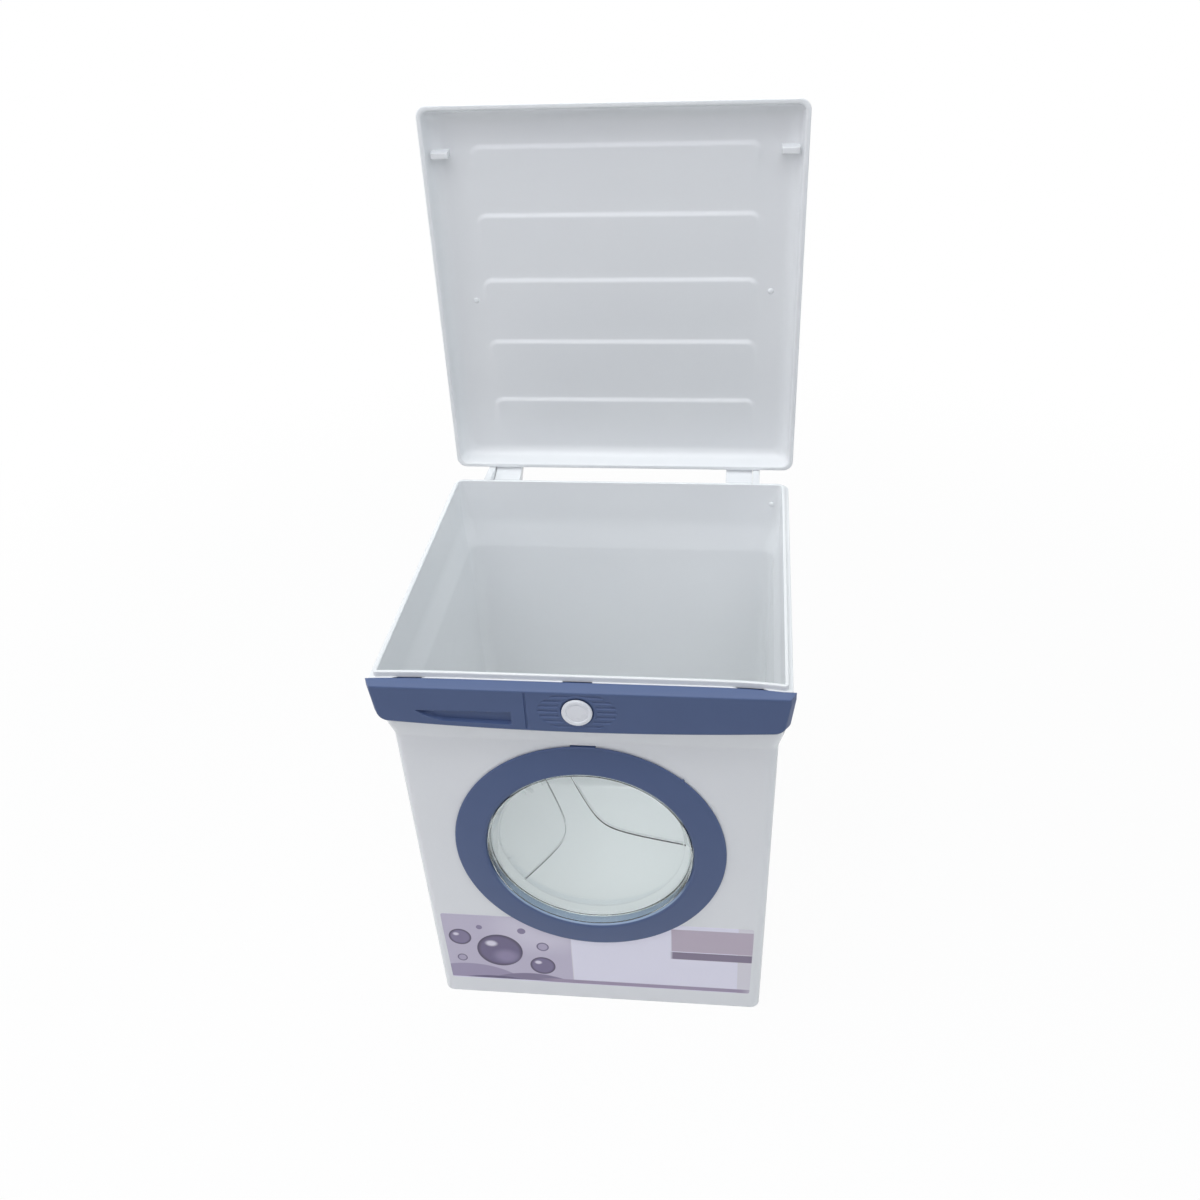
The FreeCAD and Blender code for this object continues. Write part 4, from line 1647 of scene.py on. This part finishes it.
    def hook(self, x: float) -> Surface:
        """Snap hook that stands up inside one of the ledge's slots.

        Args:
            x: middle of the slot.

        Returns:
            The hook's closed surface.
        """
        near, far = self.hook_y
        top = float(self.box.high[2])
        low, high = top - self.hook_long, top - self.hook_low
        outline = np.array([(near, low), (far, low), (far, high), (near, high + self.hook_slant)])
        half = self.slots.width / 2 - self.hook_play
        plate = slab(outline, (x - half, x + half), (0.1, 0.1, 0.1, 0.2), 0.1)
        return Surface(plate.points + (0.0, float(self.bow.at(x, top)), 0.0), plate.faces)

    def build(self) -> bpy.types.Object:
        """Makes the panel.

        Returns:
            The panel's piece.
        """
        return make_piece(
            name="control_panel_face",
            surface=self.surface(),
            finish=self.finish,
            body="tub",
            node="control_panel",
            sharp=50.0,
        )


@dataclass
class ProgramKnob:
    """White cap with a rounded rim and a dished face, on a stem that turns in the panel.

    Each corner of the dish is a share of the radius and a depth below the top of the rim.
    """

    finish: bpy.types.Material
    radius: float = 7.5
    proud: float = 1.4
    gap: float = 0.0
    dish: tuple[tuple[float, float], ...] = ((0.74, 0.0), (0.69, 0.7), (0.64, 0.3), (0.0, 0.15))
    stem_r: float = 3.0
    stem: float = 3.3
    barb_long: float = 1.2
    barb_at: float = 0.5
    barb_out: float = 0.45
    barb_in: float = 0.4

    def build(self) -> bpy.types.Object:
        """Makes the knob about the joint's own axis.

        Returns:
            The knob's piece.
        """
        r = self.radius
        tip = -self.stem - self.barb_long
        profile = [
            (0.0, tip),
            (self.stem_r - self.barb_in, tip),
            (self.stem_r + self.barb_out, -self.stem - self.barb_at),
            (self.stem_r, -self.stem),
            (self.stem_r, self.gap),
            (r, self.gap),
            (r, self.proud),
        ]
        profile += [(r * share, self.proud - depth) for share, depth in self.dish]
        cuts = (0.2, 0.2, 0.1, 0.1, 0.2, 0.8, 0.3, 0.15, 0.15)
        grid = turned(soften(np.array(profile), cuts, 6), even_angles(96))
        facing = placing(joint_place("knob_turn"), 90.0, "X")
        surface = Surface.from_grid(grid, around=True).placed(facing)
        return make_piece("program_knob_cap", surface, self.finish, "knob", "program_knob")


# ---------------------------------------------------------------- door
@dataclass
class DoorRing:
    """Slate blue ring: a low cone that rises to its well rounded inner edge, and its snap hooks.

    Each hook is an angle in degrees, anticlockwise from +X, and the radius of its leg's inner side.
    """

    face: FrontFace
    finish: bpy.types.Material
    radius: float = 73.0
    hole_r: float = 55.6
    edge: float = 0.8
    proud: float = 3.6
    inner_edge: float = 2.2
    lip_foot: float = -3.0
    lip_r: float = 56.8
    shadow_gap: float = 0.4
    shadow_deep: float = 1.6
    outer_bevel: tuple[float, float] = (0.6, 0.5)
    hole_taper: float = 0.2
    hooks: tuple[tuple[float, float], ...] = (
        (0.0, 71.6),
        (90.0, 66.0),
        (180.0, 66.0),
        (270.0, 66.0),
    )
    hook_w: float = 13.0
    hook_z: tuple[float, float, float] = (-5.5, -3.2, 0.6)
    hook_leg: float = 1.2
    hook_barb: float = 1.9
    burr_at: tuple[float, float, float] = (50.2, 53.0, 0.9)

    def band(self) -> Surface:
        """The ring itself, turned about the door's axis.

        Returns:
            The closed ring.
        """
        r, hole, top = self.radius, self.hole_r, self.proud
        profile = np.array(
            [
                (self.lip_r, 0.0),
                (r - self.shadow_deep, 0.0),
                (r - self.shadow_deep, self.shadow_gap),
                (r, self.shadow_gap),
                (r, self.edge),
                (r - self.outer_bevel[0], self.edge + self.outer_bevel[1]),
                (hole + self.hole_taper, top),
                (hole - self.hole_taper, self.lip_foot),
                (self.lip_r, self.lip_foot),
            ]
        )
        cuts = (0.0, 0.0, 0.0, 0.08, 0.15, 0.4, self.inner_edge, 0.1, 0.0)
        return Surface.from_grid(turned(soften_ring(profile, cuts, 6), even_angles(240)), around=True)

    def hook(self, degrees: float, radius: float) -> Surface:
        """One snap hook: a leg through the front wall with a barb on its outer side.

        Args:
            degrees: place round the ring.
            radius: radius of the leg's inner side.

        Returns:
            The hook in door coordinates.
        """
        half = self.hook_w / 2
        tip, under, root = self.hook_z
        leg, barb = radius + self.hook_leg, radius + self.hook_barb
        outline = [(radius, root), (radius, tip), (leg, tip), (barb, under), (leg, under), (leg, root)]
        hook = slab(np.array(outline), (-half, half), (0.1, 0.3, 0.3, 0.2, 0.1, 0.1), 0.3)
        return hook.placed(placing((0.0, 0.0, 0.0), degrees, "Z"))

    def burr(self) -> Surface:
        """Small burr left on the outer edge."""
        return dome(0.9, 0.6).placed(placing(self.burr_at, 45.0, "Y"))

    def build(self) -> bpy.types.Object:
        """Makes the ring on the front face."""
        hooks = [self.hook(degrees, radius) for degrees, radius in self.hooks]
        surface = Surface.joined([self.band(), self.burr(), *hooks]).placed(self.face.matrix)
        return make_piece("door_ring_band", surface, self.finish, "tub", "door_ring")


@dataclass
class WindowBowl:
    """Clear bowl behind the ring: a lip, a flange, a sloping wall and a face with two sunk fields.

    What stays up between the two fields reads as a star of three arms, whose lower gap is filled.
    """

    face: FrontFace
    finish: bpy.types.Material
    flange_r: float = 56.9
    lip_r: tuple[float, float] = (54.5, 55.2)
    lip_top: float = 2.3
    mouth: float = -3.1
    face_r: float = 50.6
    face_edge: float = 0.8
    back_wider: float = 0.6
    deep: float = 6.8
    wall: float = 1.3
    star_middle: tuple[float, float] = (-0.3, 3.3)
    arm_half: float = 6.05
    arm_fillet: float = 6.4
    arm_at: float = 109.7
    emboss: float = 0.8
    emboss_fade: float = 2.6
    slope: float = 1.0
    edge_columns: int = 61
    arc_columns: tuple[int, int] = (51, 15)
    rim_gaps: tuple[float, float] = (1.6, 0.25)

    def fields(self) -> list[tuple[Array, Array]]:
        """Direction of each sunk field from the star's middle, and the direction to its left."""
        angles = [math.radians(self.arm_at + turn) for turn in (60.0, 300.0)]
        ahead = [np.array((math.cos(angle), math.sin(angle))) for angle in angles]
        return [(a, np.array((-a[1], a[0]))) for a in ahead]

    def edge(self, b: Array) -> Array:
        """Distance of a field's edge ahead of the star's middle, at a distance b to the side.

        The edge is the hyperbola c + sqrt(f f + k k b b), which runs into the sides of both arms.
        """
        k = math.tan(math.radians(30.0))
        return self.arm_half / math.cos(math.radians(30.0)) + np.sqrt(self.arm_fillet**2 + (k * b) ** 2)

    def lean(self, b: Array) -> Array:
        """Slope of a field's edge at a distance b to the side: k k b / sqrt(f f + k k b b)."""
        return b / 3.0 / np.sqrt(self.arm_fillet**2 + b**2 / 3.0)

    def raised(self, points: Array) -> Array:
        """1 on the star and 0 in the fields, with a smooth slope across each field's edge.

        Args:
            points: X and Y of each place on the face.

        Returns:
            Share of the star's height.
        """
        share = np.ones(points.shape[:-1])
        place = points - self.star_middle
        for ahead, left in self.fields():
            b = place @ left
            away = (place @ ahead - self.edge(b)) / np.hypot(1.0, self.lean(b))
            share = np.minimum(share, smooth_step(0.5 - away / self.slope))
        return share

    def outlines(self, rim_r: float) -> tuple[Array, Array]:
        """Closed anticlockwise rows of points just inside and just outside the star's edge.

        Args:
            rim_r: radius that the rows stay within.

        Returns:
            The inner row and the outer row.
        """
        pairs = []
        b = np.linspace(-60.0, 60.0, 1201)
        for ahead, left in self.fields():
            line = self.edge(b)[:, None] * ahead + b[:, None] * left + self.star_middle
            within = b[np.hypot(line[:, 0], line[:, 1]) < rim_r - 0.3]
            side = np.linspace(within[0], within[-1], self.edge_columns)
            lean = self.lean(side)
            across = (ahead - lean[:, None] * left) / np.hypot(1.0, lean)[:, None]
            middle = self.edge(side)[:, None] * ahead + side[:, None] * left + self.star_middle
            pair = middle + np.array((-0.5, 0.5))[:, None, None] * self.slope * across
            radius = np.hypot(pair[..., 0], pair[..., 1])
            pairs.append(pair * np.minimum(1.0, (rim_r - 0.2) / radius)[..., None])
        rows: tuple[list[Array], list[Array]] = ([], [])
        for index, pair in enumerate(pairs):
            after = pairs[1 - index]
            for row, here, there, gap in zip(rows, pair, after, self.rim_gaps):
                first = math.atan2(here[-1, 1], here[-1, 0])
                last = math.atan2(there[0, 1], there[0, 0])
                span = (last - first) % (2.0 * math.pi)
                even = np.linspace(0.0, math.pi, self.arc_columns[index])[1:-1]
                angle = first + span * (1.0 - np.cos(even)) / 2.0
                row += [here, (rim_r - gap) * np.stack([np.cos(angle), np.sin(angle)], axis=1)]
        return np.vstack(rows[0]), np.vstack(rows[1])

    def disc(self, rim_r: float, level: float) -> Array:
        """Rows of one side of the face from the star's middle, along the star's edge, to the rim.

        Args:
            rim_r: radius of the face.
            level: height of the sunk fields.

        Returns:
            Grid of points, the middle first.
        """
        inner, outer = self.outlines(rim_r)
        angle = np.arctan2(outer[:, 1], outer[:, 0])
        rim = rim_r * np.stack([np.cos(angle), np.sin(angle)], axis=1)
        middle = np.broadcast_to(np.array(self.star_middle), inner.shape)
        inward = np.array((0.0, 0.35, 0.7, 0.9, 0.985, 1.0))[:, None, None]
        outward = np.array((0.0, 0.015, 0.1, 0.35, 0.7, 1.0))[:, None, None]
        band = np.linspace(0.0, 1.0, 9)[:, None, None]
        rows = [
            middle * (1 - inward) + inner * inward,
            inner * (1 - band[1:]) + outer * band[1:],
            outer * (1 - outward[1:]) + rim * outward[1:],
        ]
        flat = np.concatenate(rows)
        return np.concatenate([flat, np.full((*flat.shape[:2], 1), level)], axis=-1)

    def surface(self) -> Surface:
        """The closed bowl in door coordinates: back face, walls, flange and lip, then the front face.

        Returns:
            The closed bowl.
        """
        back_r = self.face_r + self.back_wider
        back_z = -self.deep - self.wall
        back = self.disc(back_r - self.face_edge, back_z)
        front = self.disc(self.face_r - self.face_edge, -self.deep)
        angles = np.arctan2(back[-1, :, 1], back[-1, :, 0])
        lip_in, lip_out = self.lip_r
        side = np.array(
            [
                (back_r - self.face_edge, back_z),
                (back_r + 0.2, back_z),
                (lip_out + 0.6, self.mouth - self.wall),
                (self.flange_r, self.mouth - self.wall),
                (self.flange_r, self.mouth),
                (lip_out, self.mouth),
                (lip_out, self.lip_top),
                (lip_in, self.lip_top),
                (lip_in, self.mouth),
                (self.face_r, -self.deep),
                (self.face_r - self.face_edge, -self.deep),
            ]
        )
        cuts = (1.0, 0.5, 0.2, 0.2, 0.05, 0.2, 0.2, 2.0, 1.6)
        wall = turned(soften(side, cuts, 8), angles)
        grid = np.concatenate([back, wall, front[::-1]])
        behind = np.arange(len(grid)) < len(back) + len(wall) // 2
        level = np.where(behind, back_z, -self.deep)
        fade = 1.0 - smooth_step((grid[..., 2] - level[:, None]) / self.emboss_fade)
        grid[..., 2] += self.emboss * fade * self.raised(grid[..., :2])
        return Surface.from_grid(grid, around=True)

    def build(self) -> bpy.types.Object:
        """Makes the bowl on the front face."""
        surface = self.surface().placed(self.face.matrix)
        return make_piece("window_bowl_clear", surface, self.finish, "tub", "window_bowl")


# ---------------------------------------------------------------- label
@dataclass
class FrontLabel:
    """Printed film on the lower front face: wider at its top, and cut round the door ring."""

    face: FrontFace
    low: tuple[float, float] = (87.8, 13.0)
    high: tuple[float, float] = (89.2, 68.0)
    thick: float = 0.15
    sunk: float = 0.05
    corner: float = 1.6
    cut_r: float = 73.3

    def finish(self) -> PrintedFilm:
        """The print: a lilac field with soap bubbles, mauve blocks and a mauve stripe.

        Returns:
            The film's finish.
        """
        block, bubble = Motif.BLOCK, Motif.BUBBLE
        low_z = self.low[1]
        lilac = (
            PrintField(block, "#CDC6DA", -52.0, 40.0, 37.0, 29.0),
            PrintField(bubble, "#E2DDEC", -30.0, 60.0, 27.0, 18.0, 9.0, 0.8),
            PrintField(bubble, "#A99FBC", -76.0, 4.0, 34.0, 22.0, 0.4),
            PrintField(bubble, "#8C829F", -40.0, -7.0, 38.0, 27.0, 0.4),
            PrintField(bubble, "#6B6283", -62.0, -13.0, 46.0, 29.0, 0.5),
            PrintField(bubble, "#4D455E", -57.0, 39.0, 13.4, 13.4),
            PrintField(bubble, "#756B8E", -57.0, 39.0, 12.2, 12.2, 1.8),
            PrintField(bubble, "#978DB0", -53.5, 34.0, 6.4, 5.0, 3.0),
            PrintField(bubble, "#E9E4F2", -61.6, 44.6, 3.2, 2.3, 1.0),
            PrintField(bubble, "#564E68", -79.6, 49.0, 6.6, 6.6),
            PrintField(bubble, "#8A80A2", -79.6, 49.0, 5.6, 5.6, 0.9),
            PrintField(bubble, "#E9E4F2", -81.8, 51.2, 1.6, 1.2, 0.6),
            PrintField(bubble, "#564E68", -32.5, 27.5, 7.4, 7.4),
            PrintField(bubble, "#81779A", -32.5, 27.5, 6.4, 6.4, 1.0),
            PrintField(bubble, "#E9E4F2", -35.0, 30.2, 1.9, 1.4, 0.6),
            PrintField(bubble, "#6F6685", -31.5, 44.0, 3.6, 3.6),
            PrintField(bubble, "#B9B0CA", -31.5, 44.0, 2.8, 2.8, 0.4),
            PrintField(bubble, "#6F6685", -80.0, 31.0, 3.0, 3.0),
            PrintField(bubble, "#B9B0CA", -80.0, 31.0, 2.3, 2.3, 0.4),
            PrintField(bubble, "#8F85A4", -43.0, 56.5, 2.4, 2.4),
            PrintField(bubble, "#8F85A4", -67.5, 58.0, 1.8, 1.8),
            PrintField(block, "#F3F1FF", 33.0, 40.0, 47.6, 30.0),
            PrintField(block, "#F3F1FF", -52.0, 12.4, 40.0, 1.4),
        )
        mauve = (
            PrintField(block, "#C7BAC9", 66.0, 55.8, 23.0, 9.2),
            PrintField(block, "#8D8198", 66.0, 43.0, 23.0, 3.0),
            PrintField(block, "#A99BB4", 28.5, low_z + 1.9, 59.5, 1.5),
        )
        return PrintedFilm(
            name="printed_polypropylene_film",
            paper="#EDEBF0",
            shade="#E2DFE9",
            cloud_mm=30.0,
            fields=lilac + mauve,
            roughness=0.22,
            ior=1.49,
            quilt=Relief(9.0, 0.03, 2.0),
        )

    def surface(self) -> Surface:
        """The film in door coordinates, from columns between its lower edge and its cut top edge.

        Returns:
            The closed film.
        """
        low_x, low_z = self.low
        high_x, high_z = self.high
        lowest, highest = low_z - self.face.door_z, high_z - self.face.door_z
        meets = math.sqrt(self.cut_r**2 - highest**2)
        r = self.corner
        arc = high_x - r * (1.0 - np.sin(np.radians(np.linspace(0.0, 90.0, 7))))
        left = np.concatenate([-arc[::-1], np.linspace(r - high_x, -meets, 12)[1:]])
        x = np.concatenate([left, np.linspace(-meets, meets, 65)[1:-1], -left[::-1]])
        bend = r - np.sqrt(np.maximum(r * r - np.clip(np.abs(x) - high_x + r, 0.0, r) ** 2, 0.0))
        hollow = -np.sqrt(np.maximum(self.cut_r**2 - x**2, 0.0))
        top = np.where(np.abs(x) < meets - 1e-6, np.minimum(highest, hollow), highest - bend)
        rise = np.linspace(0.0, 1.0, 12)[:, None]
        v = lowest + bend + rise * (top - lowest - bend)
        lean = 1.0 - (1.0 - low_x / high_x) * (highest - v) / (highest - lowest)
        grid = np.stack([x * lean, v, np.full(v.shape, self.thick)], axis=-1)
        edge = border(grid)
        foot = edge - (0.0, 0.0, self.thick + self.sunk)
        ring = Surface.from_grid(np.stack([foot, edge]), around=True)
        under = grid - (0.0, 0.0, self.thick + self.sunk)
        return Surface.joined([Surface.from_grid(grid), ring, Surface.from_grid(under).flipped()])

    def build(self) -> bpy.types.Object:
        """Makes the label on the front face."""
        surface = self.surface().placed(self.face.matrix)
        finish = self.finish().make()
        return make_piece("front_label_film", surface, finish, "tub", "front_label")


# ---------------------------------------------------------------- studio
@dataclass(frozen=True)
class SoftLamp:
    """Soft square light that looks at the object, sized in metres."""

    name: str
    place: tuple[float, float, float]
    size: float
    watts: float
    colour: str

    def build(self, target: Array) -> None:
        """Adds the lamp, aimed at a point in metres.

        Args:
            target: the point.
        """
        light = bpy.data.lights.new(self.name, "AREA")
        light.shape = "SQUARE"
        light.size = self.size
        light.energy = self.watts
        light.color = linear(self.colour)[:3]
        lamp = bpy.data.objects.new(self.name, light)
        bpy.context.scene.collection.objects.link(lamp)
        here = Matrix.Translation(self.place)
        aim = here.translation - Matrix.Translation(target).translation
        lamp.matrix_world = here @ aim.to_track_quat("Z", "Y").to_matrix().to_4x4()


@dataclass(frozen=True)
class Studio:
    """Plain pale floor, white surroundings, soft lamps and the camera, in metres and degrees."""

    camera_place: tuple[float, float, float] = (0.07816, -0.56453, 0.58898)
    camera_turn: tuple[float, float, float] = (54.371, 2.321, 6.183)
    lens: float = 36.756
    shift: tuple[float, float] = (-0.0047, 0.0496)
    white: str = "#FFFFFF"
    paper: str = "#F2F2F2"
    ambient: str = "#ECEEFF"
    ambient_strength: float = 0.01
    floor_lift: float = 0.95
    floor_fade: tuple[float, float] = (0.4, 0.95)
    floor_r: float = 1.5
    lamps: tuple[SoftLamp, ...] = (
        SoftLamp("top_softbox", (0.0, -0.05, 1.6), 1.2, 9.9, "#FBFFFE"),
        SoftLamp("upper_left_softbox", (-0.9, -0.1, 1.5), 0.9, 3.9, "#F6FFFC"),
        SoftLamp("front_softbox", (0.0, -1.1, 1.35), 1.6, 10.1, "#F8F7FF"),
        SoftLamp("left_softbox", (-1.3, -0.3, 0.9), 1.2, 6.4, "#FAF9FF"),
        SoftLamp("right_softbox", (1.3, -0.3, 0.9), 1.2, 4.9, "#EFF9FF"),
        SoftLamp("back_softbox", (0.0, 1.5, 0.55), 1.2, 5.0, "#FAFBFF"),
    )

    def white_rays(self, tree: bpy.types.NodeTree) -> bpy.types.NodeSocket:
        """Adds nodes that are 1 for what the camera, gloss and clear plastic see.

        Args:
            tree: node tree that they join.

        Returns:
            Their output socket.
        """
        rays = add_node(tree, "ShaderNodeLightPath").outputs
        glossy = add_node(
            tree,
            "ShaderNodeMath",
            operation="MAXIMUM",
            links={0: rays["Is Glossy Ray"], 1: rays["Is Transmission Ray"]},
        ).outputs[0]
        return add_node(
            tree, "ShaderNodeMath", operation="MAXIMUM", links={0: rays["Is Camera Ray"], 1: glossy}
        ).outputs[0]

    def surroundings(self) -> None:
        """White world for the camera and a softer ambient light for the object."""
        world = bpy.data.worlds.new("white_surroundings")
        world.use_nodes = True
        tree = world.node_tree
        tree.nodes.clear()
        ambient = add_node(
            tree,
            "ShaderNodeBackground",
            inputs={"Color": linear(self.ambient), "Strength": self.ambient_strength},
        ).outputs[0]
        white = add_node(
            tree, "ShaderNodeBackground", inputs={"Color": linear(self.white), "Strength": 1.0}
        ).outputs[0]
        shaders = {1: ambient, 2: white}
        seen = add_node(tree, "ShaderNodeMixShader", links={0: self.white_rays(tree)} | shaders)
        add_node(tree, "ShaderNodeOutputWorld", links={"Surface": seen.outputs[0]})
        bpy.context.scene.world = world

    def floor_finish(self) -> bpy.types.Material:
        """White paper floor that keeps the object's shadow and fades into the white surroundings.

        Returns:
            The material.
        """
        material, tree = new_material("white_paper_floor")
        paper = add_node(
            tree, "ShaderNodeBsdfDiffuse", inputs={"Color": linear(self.paper)}
        ).outputs[0]
        white = add_node(tree, "ShaderNodeEmission", inputs={"Color": linear(self.white)}).outputs[0]
        place = add_node(tree, "ShaderNodeTexCoord").outputs["Object"]
        away = add_node(
            tree, "ShaderNodeVectorMath", operation="LENGTH", links={0: place}
        ).outputs["Value"]
        near, far = self.floor_fade
        fade = add_node(
            tree,
            "ShaderNodeMapRange",
            interpolation_type="SMOOTHSTEP",
            inputs={"From Min": near, "From Max": far, "To Min": self.floor_lift, "To Max": 1.0},
            links={"Value": away},
        ).outputs["Result"]
        lift = add_node(
            tree, "ShaderNodeMath", operation="MULTIPLY", links={0: self.white_rays(tree), 1: fade}
        ).outputs[0]
        mixed = add_node(tree, "ShaderNodeMixShader", links={0: lift, 1: paper, 2: white})
        add_node(tree, "ShaderNodeOutputMaterial", links={"Surface": mixed.outputs[0]})
        return material

    def floor(self, low_z: float) -> None:
        """Round white floor under the object.

        Args:
            low_z: height of the floor, in metres.
        """
        rings = turned(np.array([(0.0, 0.0), (self.floor_r / MM, 0.0)]), even_angles(64))
        surface = Surface.from_grid(rings, around=True).flipped()
        mesh = bpy.data.meshes.new("floor")
        mesh.from_pydata(surface.points * MM + (0.0, 0.0, low_z), [], surface.faces.tolist())
        mesh.materials.append(self.floor_finish())
        plane = bpy.data.objects.new("floor", mesh)
        bpy.context.scene.collection.objects.link(plane)
        plane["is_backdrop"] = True

    def camera(self) -> None:
        """Camera above the front, a little to the right, looking down into the open box."""
        data = bpy.data.cameras.new("camera")
        data.lens = self.lens
        data.sensor_width = 36.0
        data.shift_x, data.shift_y = self.shift
        data.clip_start = 0.01
        camera = bpy.data.objects.new("camera", data)
        camera.location = self.camera_place
        camera.rotation_euler = [math.radians(angle) for angle in self.camera_turn]
        bpy.context.scene.collection.objects.link(camera)
        bpy.context.scene.camera = camera

    def build(self, bounds: Sequence) -> None:
        """Makes the studio round the object's box.

        Args:
            bounds: lowest and highest corner of the object's box, in metres.
        """
        low, high = (np.array(corner) for corner in bounds)
        self.surroundings()
        self.floor(float(low[2]))
        for lamp in self.lamps:
            lamp.build((low + high) / 2.0)
        self.camera()
        bpy.context.scene.view_settings.view_transform = "Standard"


# ---------------------------------------------------------------- the box
@dataclass
class DetergentBox:
    """The whole box: its pieces in the order in which they go together."""

    face: FrontFace = field(default_factory=FrontFace)
    hinge: Hinge = field(default_factory=lambda: Hinge.of("lid_hinge"))

    def build(self) -> list[bpy.types.Object]:
        """Makes every piece.

        Returns:
            The pieces, in that order.
        """
        white = WHITE_POLYPROPYLENE.make()
        blue = BLUE_POLYPROPYLENE.make()
        tub = TubShell(self.face, self.hinge, white)
        return [
            tub.build(),
            LidShell(self.hinge, tub.ledge_z, white).build(),
            ControlPanel(Span.of("program_knob"), blue).build(),
            ProgramKnob(KNOB_POLYPROPYLENE.make()).build(),
            DoorRing(self.face, RING_POLYPROPYLENE.make()).build(),
            WindowBowl(self.face, CLEAR_POLYSTYRENE.make()).build(),
            FrontLabel(self.face).build(),
        ]


def main() -> None:
    logging.basicConfig(level=logging.INFO, format="%(name)s: %(message)s")
    cad_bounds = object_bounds()
    pieces = DetergentBox().build()
    Studio().build(cad_bounds)
    log.info("%d pieces", len(pieces))


if __name__ == "__main__":
    main()
